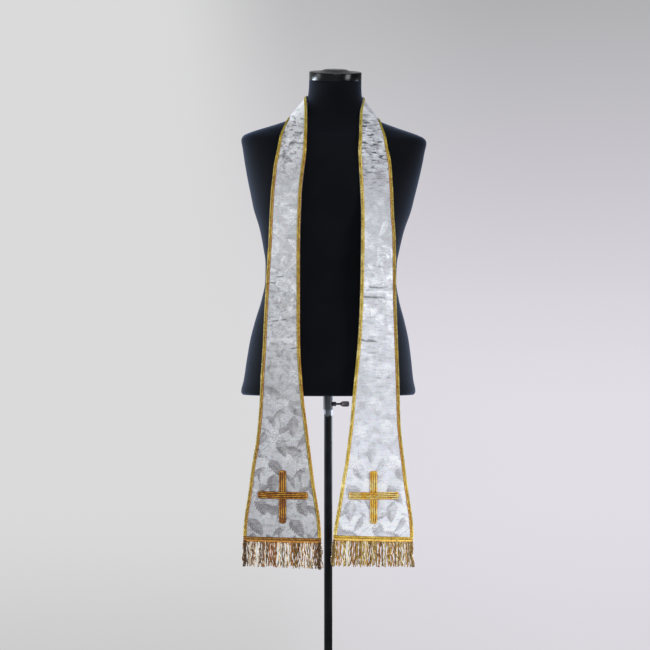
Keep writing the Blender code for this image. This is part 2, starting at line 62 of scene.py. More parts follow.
# ---------------------------------------------------------------------------------------
# The studio: a round pale floor that fades into a pale backdrop, a soft light at the right,
# a weaker one at the left, a broad panel above and behind the camera, and a narrow light
# behind the form on each side. The room beyond is dimmer at the right and overhead.
FLOOR_RADIUS = 1.25
FLOOR_FADE = (0.45, 0.97)  # shares of the radius between which the floor fades away
FLOOR_COLOUR = (0.66, 0.66, 0.68)
BACKDROP_LEFT = (0.70, 0.70, 0.70)
BACKDROP_FOOT = (0.60, 0.60, 0.60)
BACKDROP_HIGH = (0.435, 0.435, 0.450)
BACKDROP_MIDDLE = (0.690, 0.665, 0.725)
BACKDROP_LOW = (0.753, 0.730, 0.791)
BACKDROP_NEAR = (0.705, 0.683, 0.727)
# Where one colour passes into the next: at these heights, for each metre from the camera
LEFT_TO_FOOT = (-0.10, -0.20)
HIGH_TO_MIDDLE = (0.185, 0.015)
MIDDLE_TO_LOW = (0.03, -0.05)
LOW_TO_NEAR = (-0.09, -0.20)
# and from the left half to the right one: that far to the right, and to that share
TO_RIGHT_HALF = ((-0.075, 0.015, 0.0, 0.75), (0.0, 0.13, 0.0, 0.25))
BACKDROP_SLANT = 0.12  # how far the line between the halves leans to the left, going up
ROOM_LIGHT = (0.50, 0.51, 0.53)
ROOM_DARK = (0.10, 0.10, 0.11)
ROOM_DIMS_UPWARDS = (-0.3, 0.9, 1.0, 0.45)  # from and to that height, and those shares of light
ROOM_DIMS_RIGHTWARDS = (0.0, 0.62, 1.0, 0.06)
# spread: the angle that the lamp shines into, in degrees, from its own shape or a grid on it
Lamp = namedtuple("Lamp", "name place aim width height power spread colour")
LAMPS = [
    Lamp("right_softbox", (2.3, -1.5, 0.95), (0, 0, 0.72), 1.0, 1.2, 36, 180, (1, 1, 1)),
    Lamp("left_window", (-2.6, -0.5, 1.7), (0, 0, 1.0), 0.9, 1.6, 23, 180, (0.94, 0.97, 1)),
    Lamp("front_panel", (0.5, -4.6, 2.3), (0, 0, 0.9), 2.2, 1.2, 57, 180, (1, 1, 1)),
    Lamp("left_rim", (-2.5, 0.9, 1.02), (0, 0, 1.02), 1.5, 0.46, 66, 180, (0.80, 0.90, 1)),
    Lamp("right_rim", (2.3, 1.3, 0.74), (0, 0, 0.80), 1.5, 0.44, 4.4, 32, (0.80, 0.88, 1)),
]


class Wire:
    """The number, colour or vector that comes out of a node. Sums with it add maths nodes."""

    def __init__(self, socket):
        self.socket = socket
        self.tree = socket.id_data

    def maths(self, operation, second=0.0, third=0.0):
        return new_node(self.tree, "Math", {0: self, 1: second, 2: third}, operation=operation)

    def __add__(self, other):
        return self.maths("ADD", other)

    def __sub__(self, other):
        return self.maths("SUBTRACT", other)

    def __rsub__(self, other):
        return self.maths("MULTIPLY_ADD", -1.0, other)

    def __mul__(self, other):
        return self.maths("MULTIPLY", other)

    def __truediv__(self, other):
        return self.maths("DIVIDE", other)

    def __abs__(self):
        return self.maths("ABSOLUTE")

    def at_least(self, other):
        return self.maths("MAXIMUM", other)

    __radd__, __rmul__ = __add__, __mul__


def feed(socket, value):
    """Links a wire to an input, or sets the input to a number or a colour."""
    if isinstance(value, Wire):
        value.tree.links.new(value.socket, socket)
    elif socket.type == "RGBA":
        socket.default_value = (*value, 1)
    else:
        socket.default_value = value


def new_node(tree, kind, inputs=(), out=0, **settings):
    """Adds a node and gives the wire from one of its outputs. Inputs go by name or place."""
    node = tree.nodes.new("ShaderNode" + kind)
    for name, value in settings.items():
        setattr(node, name, value)
    for key, value in dict(inputs).items():
        feed(node.inputs[key], value)
    return Wire(node.outputs[out]) if node.outputs else None


def parts_of(vector):
    """The x, y and z of a vector."""
    first = new_node(vector.tree, "SeparateXYZ", {0: vector})
    return [Wire(socket) for socket in first.socket.node.outputs]


def vectors(operation, *operands, out=0):
    """A sum with whole vectors or colours."""
    tree = operands[0].tree
    return new_node(tree, "VectorMath", dict(enumerate(operands)), out, operation=operation)


def scaled(vector, share):
    """A vector or colour times a number."""
    return new_node(vector.tree, "VectorMath", {0: vector, "Scale": share}, operation="SCALE")


def blend(share, low, high):
    """A colour between two colours."""
    return new_node(share.tree, "Mix", {"Factor": share, 6: low, 7: high}, 2, data_type="RGBA")


def faded(value, low, high, to_low=0.0, to_high=1.0, curve="SMOOTHSTEP"):
    """A value taken smoothly from one range to another, and held at its ends."""
    ranges = {"From Min": low, "From Max": high, "To Min": to_low, "To Max": to_high}
    return new_node(value.tree, "MapRange", {"Value": value, **ranges}, interpolation_type=curve)


def object_spot(tree):
    """The place on the piece at rest."""
    return new_node(tree, "TexCoord", out="Object")


def deselect():
    for chosen in bpy.context.selected_objects:
        chosen.select_set(False)


deselect()
bpy.ops.mesh.primitive_circle_add(vertices=96, radius=FLOOR_RADIUS, fill_type="NGON")
floor = bpy.context.object
floor.name = "studio_floor"
floor_finish = bpy.data.materials.new("studio_floor")
floor_finish.use_nodes = True
floor_tree = floor_finish.node_tree
floor_tree.nodes.clear()
from_pole = vectors("LENGTH", object_spot(floor_tree), out="Value")
edge = faded(from_pole, *(share * FLOOR_RADIUS for share in FLOOR_FADE))
paint = new_node(floor_tree, "BsdfDiffuse", {"Color": FLOOR_COLOUR})
clear = new_node(floor_tree, "BsdfTransparent")
surface = new_node(floor_tree, "MixShader", {0: edge, 1: paint, 2: clear})
new_node(floor_tree, "OutputMaterial", {"Surface": surface})
floor.data.materials.append(floor_finish)

room = bpy.data.worlds.new("studio")
bpy.context.scene.world = room
room.use_nodes = True
room_tree = room.node_tree
room_tree.nodes.clear()
to_right, _, upwards = parts_of(new_node(room_tree, "TexCoord", out="Generated"))
left_side = blend(faded(upwards, *LEFT_TO_FOOT), BACKDROP_LEFT, BACKDROP_FOOT)
right_side = faded(upwards, *HIGH_TO_MIDDLE, curve="LINEAR")
right_side = blend(right_side, BACKDROP_HIGH, BACKDROP_MIDDLE)
right_side = blend(faded(upwards, *MIDDLE_TO_LOW), right_side, BACKDROP_LOW)
right_side = blend(faded(upwards, *LOW_TO_NEAR), right_side, BACKDROP_NEAR)
slanted = upwards * BACKDROP_SLANT + to_right
near_line, far_right = (faded(slanted, *step) for step in TO_RIGHT_HALF)
seen = blend(near_line + far_right, left_side, right_side)
bright = faded(upwards, *ROOM_DIMS_UPWARDS) * faded(to_right, *ROOM_DIMS_RIGHTWARDS)
lit = blend(bright, ROOM_DARK, ROOM_LIGHT)
in_view = new_node(room_tree, "LightPath", out="Is Camera Ray")
glow = new_node(room_tree, "Background", {"Color": blend(in_view, lit, seen), "Strength": 1.0})
new_node(room_tree, "OutputWorld", {"Surface": glow})

for lamp in LAMPS:
    bpy.ops.object.light_add(type="AREA", location=lamp.place)
    light = bpy.context.object
    light.name = lamp.name
    light.data.shape = "RECTANGLE"
    light.data.size, light.data.size_y = lamp.width, lamp.height
    light.data.energy = lamp.power
    light.data.color = lamp.colour
    light.data.spread = radians(lamp.spread)
    aim = Vector(lamp.aim) - Vector(lamp.place)
    light.rotation_euler = aim.to_track_quat("-Z", "Y").to_euler()
    light.visible_camera = False
bpy.context.scene.view_settings.view_transform = "Standard"

# ---------------------------------------------------------------------------------------
# The form: a moulded torso with no limbs under a close skin of black knitted jersey, with
# a seam down each side and down the back. The jersey's hem is turned under the lower cut,
# which a black board closes, with a bore for the clamp's tube.
FORM_BASE = Vector((0, 0, 0.811))
FORM_LEAN = 0.0225  # sideways for each metre of height
SHOULDER_TILT = 0.018  # how much lower the shoulders are for each metre to the right
SHOULDER_HEIGHT = 0.58
FORM_SIDES = 128
FORM_STEP = 0.008
SEAMS = (0, 0.25, 0.75, 1)  # shares of the way round, from the centre back
SEAM_DEPTH = 0.0005
SEAM_WIDTH = 0.0016
HEM_HEIGHT = 0.0075  # of the stitch line above the cut
HEM_REACH = 0.93  # the hem covers the underside from this share of its outline outwards
HEM_LIP = 0.004  # a narrow ring of faces from there, which keeps the hem's edge crisp
TUBE_BORE_RADIUS = 0.0117
TUBE_BORE_DEPTH = 0.39
BORE_MARGIN = 0.01
SKIN_GIRTH = 0.95  # the width of the jersey's pattern, all round
JERSEY_DARK = (0.0022, 0.0025, 0.0034)
JERSEY_PALE = (0.0034, 0.0038, 0.0052)
JERSEY_BLOOM = (0.50, 0.64, 1.0)
LINT = (0.06, 0.065, 0.08)
BOARD_DARK = (0.010, 0.010, 0.011)
BOARD_PALE = (0.035, 0.033, 0.031)

# height: of the section's widest line above the form's cut; half_width: to each side
# front, back: depths from the widest line; squareness: 2 is an ellipse, more is boxier
# forward: how far the widest line lies in front of the pole's plane
# tilt: degrees by which the section's front edge drops
Section = namedtuple(
    "Section", "height half_width front back squareness forward tilt", defaults=(2.3, 0, 0)
)
FORM_SECTIONS = [
    (0, 0.1965, 0.106, 0.111),
    (0.006, 0.2005, 0.11, 0.115),
    (0.033, 0.195, 0.111, 0.117),
    (0.079, 0.189, 0.112, 0.119),
    (0.125, 0.182, 0.11, 0.117),
    (0.171, 0.171, 0.106, 0.11),
    (0.217, 0.158, 0.101, 0.1),
    (0.262, 0.1505, 0.097, 0.09),
    (0.3, 0.151, 0.097, 0.085),
    (0.332, 0.156, 0.101, 0.085, 2.35),
    (0.378, 0.166, 0.11, 0.089, 2.4),
    (0.424, 0.181, 0.12, 0.095, 2.4),
    (0.455, 0.188, 0.122, 0.098, 2.4),
    (0.49, 0.196, 0.117, 0.1, 2.4),
    (0.53, 0.204, 0.106, 0.101, 2.4),
    (0.562, 0.2095, 0.094, 0.1, 2.4),
    (0.5805, 0.213, 0.086, 0.097),
    (0.588, 0.2105, 0.082, 0.0935, 2.2),
    (0.5943, 0.203, 0.078, 0.09, 2.1),
    (0.6035, 0.179, 0.074, 0.085, 2.05),
    (0.6127, 0.15, 0.07, 0.08, 2),
    (0.6219, 0.123, 0.067, 0.075, 2),
    (0.6311, 0.0995, 0.063, 0.07, 2, 0.001),
    (0.6415, 0.085, 0.06, 0.067, 2, 0.002),
    (0.654, 0.0755, 0.058, 0.064, 2, 0.004),
    (0.669, 0.067, 0.0565, 0.0615, 2, 0.007),
    (0.685, 0.062, 0.057, 0.06, 2, 0.01, 4),
    (0.701, 0.0605, 0.058, 0.059, 2, 0.013, 8),
    (0.721, 0.06, 0.059, 0.059, 2, 0.0165, 12),
]
FORM_SECTIONS = [Section(*row) for row in FORM_SECTIONS]


def eased(knots, values, at):
    """A smooth curve through the values that never swings past them."""
    last = len(knots) - 1
    k = max(i for i in range(last) if knots[i] <= at or i == 0)
    slopes = {
        i: (values[i + 1] - values[i]) / (knots[i + 1] - knots[i])
        for i in (k - 1, k, k + 1)
        if 0 <= i < last
    }

    def tangent(i):
        if i in (0, last):
            return slopes[min(i, last - 1)]
        before, after = slopes[i - 1], slopes[i]
        return 0 if before * after <= 0 else 2 * before * after / (before + after)

    span = knots[k + 1] - knots[k]
    t = (at - knots[k]) / span
    return (
        (2 * t**3 - 3 * t**2 + 1) * values[k]
        + (t**3 - 2 * t**2 + t) * span * tangent(k)
        + (3 * t**2 - 2 * t**3) * values[k + 1]
        + (t**3 - t**2) * span * tangent(k + 1)
    )


def unit(arrows):
    """Arrows of any length, made one long."""
    return arrows / np.linalg.norm(arrows, axis=-1, keepdims=True)


def leaned(side, back, height):
    """A point of the upright form, moved to where the lean puts it. The lower cut stays level."""
    drop = SHOULDER_TILT * side * min(1, height / SHOULDER_HEIGHT)
    return Vector((side + FORM_LEAN * height, back, height - drop))


def section_ring(height):
    """The points round the form at one height, counter-clockwise from the centre back."""
    heights = [row.height for row in FORM_SECTIONS]
    section = Section(*(eased(heights, column, height) for column in zip(*FORM_SECTIONS)))
    power = 2 / section.squareness
    ring = []
    for i in range(FORM_SIDES + 1):
        turn = pi / 2 + 2 * pi * i / FORM_SIDES
        depth = section.back if sin(turn) > 0 else section.front
        from_line = copysign(depth * abs(sin(turn)) ** power, sin(turn))
        level = section.height + tan(radians(section.tilt)) * from_line
        side = copysign(section.half_width * abs(cos(turn)) ** power, cos(turn))
        ring.append(leaned(side, from_line - section.forward, level) + FORM_BASE)
    return ring


def shaped_grid(name, points, laid_out):
    """A grid primitive whose points are moved to their places. laid_out says where each
    lies on the flat material, in metres, which is the piece's UV map."""
    rows, columns = np.shape(points)[:2]
    deselect()
    bpy.ops.mesh.primitive_grid_add(
        x_subdivisions=columns - 1, y_subdivisions=rows - 1, size=1, location=(0, 0, 0)
    )
    made = bpy.context.object
    made.name = made.data.name = name
    mesh = made.data
    mesh.vertices.foreach_set("co", np.array(points, np.float32).ravel())
    corners = np.empty(len(mesh.loops), np.int32)
    mesh.loops.foreach_get("vertex_index", corners)
    flat = np.array(laid_out, np.float32).reshape(-1, 2)[corners]
    mesh.uv_layers[0].data.foreach_set("uv", flat.ravel())
    mesh.update()
    return made


def weld(made):
    """Closes seams and poles, where rows or columns of points meet, and turns the faces out."""
    bpy.ops.object.mode_set(mode="EDIT")
    bpy.ops.mesh.select_all(action="SELECT")
    bpy.ops.mesh.remove_doubles(threshold=1e-6)
    bpy.ops.mesh.normals_make_consistent(inside=False)
    bpy.ops.object.mode_set(mode="OBJECT")
    bpy.ops.object.shade_smooth()
    return made


def finish_with(made, *finishes):
    made.data.materials.clear()
    for finish in finishes:
        made.data.materials.append(finish)


def new_finish(name):
    """A material with one Principled shader, and its tree of nodes."""
    made = bpy.data.materials.new(name)
    made.use_nodes = True
    return made, made.node_tree


def shaded(made, inputs, relief=None):
    """Feeds a material's shader. relief: the strength, depth and height of its surface."""
    if relief:
        bump = dict(zip(("Strength", "Distance", "Height"), relief))
        inputs["Normal"] = new_node(made.node_tree, "Bump", bump)
    for name, value in inputs.items():
        feed(made.node_tree.nodes["Principled BSDF"].inputs[name], value)
    return made


def noise(spot, scale, detail=2.0, distortion=0.0, out=0):
    """Random cloudiness: so many features to each unit of the spot."""
    inputs = {"Vector": spot, "Scale": scale, "Detail": detail, "Distortion": distortion}
    return new_node(spot.tree, "TexNoise", inputs, out)


def jersey():
    """Fine black single knit: upright wales, a soft bloom of loose fibres that catches light
    from the side, and a little lint."""
    made, tree = new_finish("black_jersey")
    spot = object_spot(tree)
    cloudy = faded(noise(spot, 9.0, 3.0), 0.35, 0.65)
    colour = blend(cloudy, JERSEY_DARK, JERSEY_PALE)
    lint = new_node(tree, "TexVoronoi", {"Vector": spot, "Scale": 120.0}, "Distance")
    colour = blend(faded(lint, 0.055, 0.02, 0.0, 0.35), colour, LINT)
    knit = {"Vector": new_node(tree, "UVMap"), "Scale": 320.0, "Distortion": 1.2}
    wales = new_node(tree, "TexWave", {**knit, "Detail Scale": 2.0}, "Fac")
    feel = {"Roughness": 0.85, "Specular IOR Level": 0.08}
    bloom = {"Sheen Weight": 0.34, "Sheen Roughness": 0.40, "Sheen Tint": JERSEY_BLOOM}
    return shaded(made, {"Base Color": colour, **feel, **bloom}, (0.12, 0.0004, wales))


def fibreboard():
    """Black board with a coarse grain."""
    made, tree = new_finish("black_board")
    grain = noise(object_spot(tree), 60.0, 6.0)
    colour = blend(grain, BOARD_DARK, BOARD_PALE)
    return shaded(made, {"Base Color": colour, "Roughness": 0.75})


form_heights = [FORM_SECTIONS[0].height]
for low, high in zip(FORM_SECTIONS, FORM_SECTIONS[1:]):
    shares = max(2, ceil((high.height - low.height) / FORM_STEP))
    step = (high.height - low.height) / shares
    form_heights += [low.height + step * (i + 1) for i in range(shares)]
form_points = np.array([section_ring(height) for height in form_heights])


def surface_of(points):
    """The surface through a grid of points, to find the nearest spot on or to look through."""
    rows, columns = points.shape[:2]
    index = np.arange(rows * columns).reshape(rows, columns)
    cells = np.stack([index[:-1, :-1], index[:-1, 1:], index[1:, 1:], index[1:, :-1]], axis=2)
    return BVHTree.FromPolygons(points.reshape(-1, 3).tolist(), cells.reshape(-1, 4).tolist())


form_skin = surface_of(form_points)

# The seams lie in shallow grooves: at the centre back, at each side and along the hem.
turns = np.linspace(0, 1, FORM_SIDES + 1)
middle = form_points[:, :-1].mean(axis=1)[:, None]
outwards = (form_points - middle) * (1, 1, 0)
girth = 2 * pi * np.linalg.norm(outwards, axis=2).mean(axis=1)[:, None]
outwards = unit(outwards)
groove = np.zeros(form_points.shape[:2])
for seam in SEAMS:
    groove += np.exp(-(((turns - seam)[None] * girth / SEAM_WIDTH / 2) ** 2))
rise = np.array(form_heights)[:, None]
groove += np.exp(-(((rise - HEM_HEIGHT) / SEAM_WIDTH) ** 2))
form_points -= outwards * groove[:, :, None] * SEAM_DEPTH


def level_ring(radius, height):
    """A ring round the pole's axis, with a point for each of the form's sides."""
    turn = pi / 2 + 2 * pi * turns
    level = np.full(len(turn), FORM_BASE.z + height)
    return np.stack([radius * np.cos(turn), radius * np.sin(turn), level], axis=1)


bore = [(0, TUBE_BORE_DEPTH), (TUBE_BORE_RADIUS, TUBE_BORE_DEPTH)]
bore += [(TUBE_BORE_RADIUS, 0.001), (TUBE_BORE_RADIUS, 0)]
underside = [level_ring(*row) for row in bore]
underside += [form_points[0] * (share, share, 1) for share in (0.5, HEM_REACH, HEM_REACH + HEM_LIP)]
top = form_points[-1]
lid = [top + (top[:-1].mean(axis=0) - top) * share for share in (0.5, 1.0)]
form_grid = np.concatenate([underside, form_points, lid])
form_flat = np.stack(np.broadcast_arrays(turns * SKIN_GIRTH, form_grid[:, :, 2]), axis=2)
form_body = weld(shaped_grid("form_body", form_grid, form_flat))
finish_with(form_body, jersey(), fibreboard())


def outline_share(x, y):
    """How far out a spot on the underside lies, as a share of the lower cut's outline."""
    cut = FORM_SECTIONS[0]
    depth = cut.back if y > 0 else cut.front
    power = cut.squareness
    return ((abs(x) / cut.half_width) ** power + (abs(y) / depth) ** power) ** (1 / power)


bore_end = FORM_BASE.z + TUBE_BORE_DEPTH + BORE_MARGIN
for face in form_body.data.polygons:
    level = abs(face.center.z - FORM_BASE.z) < 1e-4 and abs(face.normal.z) > 0.9
    in_bore = Vector(face.center[:2]).length < 2 * TUBE_BORE_RADIUS and face.center.z < bore_end
    if in_bore or level and outline_share(*face.center[:2]) < HEM_REACH:
        face.material_index = 1
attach(form_body, "form")
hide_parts("torso")

# ---------------------------------------------------------------------------------------
# The lid on the neck: one turned piece of black gloss plastic, a rim as wide as the neck
# with a raised, sloping disc on it. It tilts with the neck.
CAP_RADIUS = 0.06
CAP_HEIGHT = 0.018
CAP_DISC_RADIUS = 0.0402
CAP_DISC_TOP_RADIUS = 0.0243
CAP_DISC_HEIGHT = 0.0056
CAP_EDGE = 0.0022
CAP_FOOT_EDGE = 0.0008
CAP_GAP = 0.0003
CAP_BLACK = (0.0030, 0.0034, 0.0042)


def choose(made, kind, test):
    """Goes into edit mode with only the faces or edges that pass the test selected."""
    bpy.ops.object.mode_set(mode="EDIT")
    bpy.context.tool_settings.mesh_select_mode = (False, kind == "EDGE", kind == "FACE")
    bpy.ops.mesh.select_all(action="DESELECT")
    bpy.ops.object.mode_set(mode="OBJECT")
    for part in made.data.polygons if kind == "FACE" else made.data.edges:
        part.select = test(part)
    bpy.ops.object.mode_set(mode="EDIT")


def at_height(made, edge, height, beyond=0):
    """True for an edge that lies level at this height, further than that from the axis."""
    ends = [made.data.vertices[v].co for v in edge.vertices]
    level = max(abs(end.z - height) for end in ends) < 1e-5
    return level and Vector(ends[0][:2]).length > beyond


def gloss_plastic():
    """Moulded black styrene: a clear gloss with faint swirls from wiping."""
    made, tree = new_finish("black_gloss_plastic")
    swirl = noise(object_spot(tree), 38.0, 5.0, 1.6)
    gloss = {"Roughness": faded(swirl, 0.3, 0.75, 0.18, 0.30), "Specular IOR Level": 0.19}
    coat = {"Coat Weight": 0.10, "Coat Roughness": 0.12}
    colour = {"Base Color": CAP_BLACK}
    return shaded(made, {**colour, **gloss, **coat}, (0.02, 0.0006, swirl))


deselect()
bpy.ops.mesh.primitive_cylinder_add(
    vertices=128, radius=CAP_RADIUS, depth=CAP_HEIGHT, location=(0, 0, CAP_HEIGHT / 2)
)
cap = bpy.context.object
cap.name = cap.data.name = "neck_lid"
bpy.ops.object.transform_apply(location=True, rotation=False, scale=False)
choose(cap, "FACE", lambda face: face.normal.z > 0.9)
bpy.ops.mesh.inset(thickness=CAP_RADIUS - CAP_DISC_RADIUS)
bpy.ops.mesh.inset(thickness=CAP_DISC_RADIUS - CAP_DISC_TOP_RADIUS)
bpy.ops.transform.translate(value=(0, 0, CAP_DISC_HEIGHT))
bpy.ops.object.mode_set(mode="OBJECT")
choose(cap, "EDGE", lambda edge: at_height(cap, edge, CAP_HEIGHT + CAP_DISC_HEIGHT))
bpy.ops.mesh.bevel(offset=CAP_EDGE, segments=4, profile=0.5)
choose(cap, "EDGE", lambda edge: at_height(cap, edge, CAP_HEIGHT, 0.9 * CAP_RADIUS))
bpy.ops.mesh.bevel(offset=CAP_EDGE, segments=5, profile=0.5)
choose(cap, "EDGE", lambda edge: at_height(cap, edge, 0))
bpy.ops.mesh.bevel(offset=CAP_FOOT_EDGE, segments=2)
bpy.ops.object.mode_set(mode="OBJECT")
neck = FORM_SECTIONS[-1]
cap_tilt = Euler((radians(neck.tilt), atan(SHOULDER_TILT), 0)).to_matrix()
cap_seat = FORM_BASE + leaned(0, -neck.forward, neck.height) + cap_tilt @ Vector((0, 0, CAP_GAP))
cap.data.transform(cap_tilt.to_4x4())
for vertex in cap.data.vertices:
    vertex.co += cap_seat
bpy.ops.object.shade_smooth_by_angle(angle=radians(32))
finish_with(cap, gloss_plastic())
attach(cap, "form")
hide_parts("neck_cap")

# ---------------------------------------------------------------------------------------
# The stand: a round steel plate with a socket welded on it and a lacquered steel pole. The
# clamp has rubbed the pole bright where the form is usually set.
BASE_RADIUS = 0.17
BASE_THICKNESS = 0.008
BASE_EDGE = 0.002
SOCKET_FOOT_RADIUS = 0.03
SOCKET_FOOT_HEIGHT = 0.006
SOCKET_RADIUS = 0.0165
SOCKET_HEIGHT = 0.05
POLE_RADIUS = 0.0095
POLE_TOP = 0.911
STAND_EDGE = 0.001
FIT_GAP = 0.0003
RUBBED = (0.7625, 0.799)  # heights between which the pole's lacquer is rubbed away
RAGGED = 0.004  # how far the ends of the rubbed stretch wander up and down
LACQUER_BLACK = (0.0040, 0.0041, 0.0052)
LACQUER_SCUFFED = (0.026, 0.026, 0.029)
BARE_STEEL = (0.11, 0.115, 0.13)


def turned(name, profile, sides=64):
    """Turns a profile of (radius, height) points about the pole's axis. It runs up the
    outer side."""
    turn = np.linspace(0, 2 * pi, sides + 1)
    across, forward, level = np.cos(turn), np.sin(turn), np.ones(sides + 1)
    rows = [np.stack([r * across, r * forward, height * level], axis=1) for r, height in profile]
    flat = [[(t * POLE_RADIUS, height) for t in turn] for _, height in profile]
    made = weld(shaped_grid(name, rows, flat))
    bpy.ops.object.shade_smooth_by_angle(angle=radians(40))
    return made


def rounded_edge(radius, height, size, upwards=1):
    """A quarter round on a turned profile's outer side: its upper edge, or its lower one
    where upwards is -1."""
    points = []
    for turn in np.linspace(0, pi / 2, 5):
        across, rise = (sin(turn), cos(turn)) if upwards < 0 else (cos(turn), sin(turn))
        points.append((radius + size * (across - 1), height + upwards * size * (rise - 1)))
    return points


def lacquer(name, gloss, scuffs, rubbed=None):
    """Black stoving lacquer with dull scuffs. Between the heights in rubbed it is worn down
    to bare steel, with ragged ends."""
    made, tree = new_finish(name)
    spot = object_spot(tree)
    worn = noise(spot, 26.0, 7.0)
    scuffed = faded(worn, 0.45, 0.8, 0.0, scuffs)
    colour = blend(scuffed, LACQUER_BLACK, LACQUER_SCUFFED)
    inputs = {"Roughness": faded(worn, 0.3, 0.8, gloss, gloss + 0.22), "Specular IOR Level": 0.10}
    if rubbed:
        height = parts_of(spot)[2] + faded(noise(spot, 90.0, 3.0), 0.3, 0.7, -RAGGED, RAGGED)
        above_foot = faded(height, rubbed[0] - 0.001, rubbed[0] + 0.001)
        bare = above_foot * faded(height, rubbed[1] + 0.001, rubbed[1] - 0.001)
        colour = blend(bare, colour, BARE_STEEL)
        inputs["Metallic"] = bare
    inputs.update({"Base Color": colour, "Coat Weight": 0.02, "Coat Roughness": 0.08})
    orange_peel = noise(spot, 420.0)
    return shaded(made, inputs, (0.06, 0.0003, orange_peel))


stand_paint = lacquer("stand_lacquer", 0.24, 0.5)
plate = turned(
    "stand_plate",
    [
        (0, 0),
        (BASE_RADIUS - BASE_EDGE / 2, 0),
        *rounded_edge(BASE_RADIUS, 0, BASE_EDGE / 2, -1),
        *rounded_edge(BASE_RADIUS, BASE_THICKNESS, BASE_EDGE),
        (SOCKET_FOOT_RADIUS, BASE_THICKNESS),
        (0, BASE_THICKNESS),
    ],
    128,
)
finish_with(plate, stand_paint)
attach(plate, "base")
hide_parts("base_plate")

socket_low = BASE_THICKNESS + FIT_GAP
socket_top = socket_low + SOCKET_HEIGHT
foot_top = socket_low + SOCKET_FOOT_HEIGHT
pole_bore = POLE_RADIUS + FIT_GAP
socket = turned(
    "stand_socket",
    [
        (pole_bore, socket_top),
        (pole_bore, socket_low),
        (SOCKET_FOOT_RADIUS, socket_low),
        *rounded_edge(SOCKET_FOOT_RADIUS, foot_top, STAND_EDGE),
        (SOCKET_RADIUS + 2 * STAND_EDGE, foot_top),
        (SOCKET_RADIUS + STAND_EDGE / 2, foot_top + STAND_EDGE / 2),
        (SOCKET_RADIUS, foot_top + 2 * STAND_EDGE),
        *rounded_edge(SOCKET_RADIUS, socket_top, STAND_EDGE),
        (pole_bore, socket_top),
    ],
)
finish_with(socket, stand_paint)
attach(socket, "base")
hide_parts("base_socket")

pole = turned(
    "stand_pole",
    [
        (0, socket_low),
        (POLE_RADIUS, socket_low),
        (POLE_RADIUS, RUBBED[0]),
        (POLE_RADIUS, RUBBED[1]),
        *rounded_edge(POLE_RADIUS, POLE_TOP, STAND_EDGE),
        (0, POLE_TOP),
    ],
)
finish_with(pole, lacquer("pole_lacquer", 0.32, 0.25, RUBBED))
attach(pole, "pole")
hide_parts("pole")

# ---------------------------------------------------------------------------------------
# The clamp's tube: drawn steel that comes down out of the form over the pole, with a
# hexagonal boss for the screw on its right side.
TUBE_RADIUS = 0.0112
TUBE_LOW = 0.776
TUBE_HIGH = 1.181
SCREW_HEIGHT = 0.789
BOSS_RADIUS = 0.0057
BOSS_FROM = 0.0106
BOSS_TO = 0.018
BOSS_BORE_DEPTH = 0.003
BOSS_EDGE = 0.0004
SHANK_RADIUS = 0.0026
TUBE_STEEL = (0.055, 0.055, 0.060)
PALER_STREAKS = 2.6  # times the steel's colour


def stretched(spot, scale, detail):
    """Noise with so many features to each unit of x, y and z."""
    return noise(new_node(spot.tree, "Mapping", {"Vector": spot, "Scale": scale}), 1.0, detail)


def drawn_steel(name, colour, roughness):
    """Dark drawn steel: streaks up and down, the paler the smoother."""
    made, tree = new_finish(name)
    streak = stretched(object_spot(tree), (160.0, 160.0, 5.0), 4.0)
    pale = tuple(PALER_STREAKS * part for part in colour)
    inputs = {
        "Base Color": blend(faded(streak, 0.35, 0.72), colour, pale),
        "Roughness": faded(streak, 0.3, 0.7, roughness + 0.15, roughness - 0.1),
        "Metallic": 0.85,
    }
    return shaded(made, inputs, (0.1, 0.0003, streak))


def soften(made, width):
    """Rounds all the edges of a piece a little."""
    bevel = made.modifiers.new("soft", "BEVEL")
    bevel.width = width
    bevel.segments = 2
    bpy.ops.object.modifier_apply(modifier="soft")


def joined(name, parts):
    """One piece of several."""
    deselect()
    for part in parts:
        part.select_set(True)
    bpy.context.view_layer.objects.active = parts[0]
    bpy.ops.object.join()
    parts[0].name = parts[0].data.name = name
    return parts[0]


tube = turned(
    "clamp_tube",
    [
        (pole_bore, TUBE_HIGH),
        (pole_bore, TUBE_LOW + STAND_EDGE / 2),
        (pole_bore + STAND_EDGE / 2, TUBE_LOW),
        *rounded_edge(TUBE_RADIUS, TUBE_LOW, STAND_EDGE / 2, -1),
        (TUBE_RADIUS, TUBE_HIGH),
        (pole_bore, TUBE_HIGH),
    ],
)
deselect()
boss_middle = ((BOSS_FROM + BOSS_TO) / 2, 0, SCREW_HEIGHT)
bpy.ops.mesh.primitive_cylinder_add(
    vertices=6,
    radius=BOSS_RADIUS,
    depth=BOSS_TO - BOSS_FROM,
    rotation=(0, pi / 2, 0),
    location=boss_middle,
)
boss = bpy.context.object
bpy.ops.object.transform_apply(location=True, rotation=True, scale=True)
choose(boss, "FACE", lambda face: face.normal.x > 0.9)
bpy.ops.mesh.inset(thickness=BOSS_RADIUS - SHANK_RADIUS - 2 * FIT_GAP)
bpy.ops.mesh.extrude_region_move(TRANSFORM_OT_translate={"value": (-BOSS_BORE_DEPTH, 0, 0)})
bpy.ops.object.mode_set(mode="OBJECT")
soften(boss, BOSS_EDGE)
tube = joined("clamp_tube", [tube, boss])
bpy.ops.object.shade_smooth_by_angle(angle=radians(30))
finish_with(tube, drawn_steel("tube_steel", TUBE_STEEL, 0.38))
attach(tube, "form")
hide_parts("pole_tube")

# ---------------------------------------------------------------------------------------
# The clamp's screw: a threaded steel shank through the boss, with a collar and a flat wing
# for the fingers, which has an oval pressed into each side.
SHANK_TO = 0.029
THREAD_RIDGE = 0.0005  # along the shank, from a crest to a root
THREAD_DEPTH = 0.0004
THREAD_RIDGES = 36
TIP_CHAMFER = 0.0006
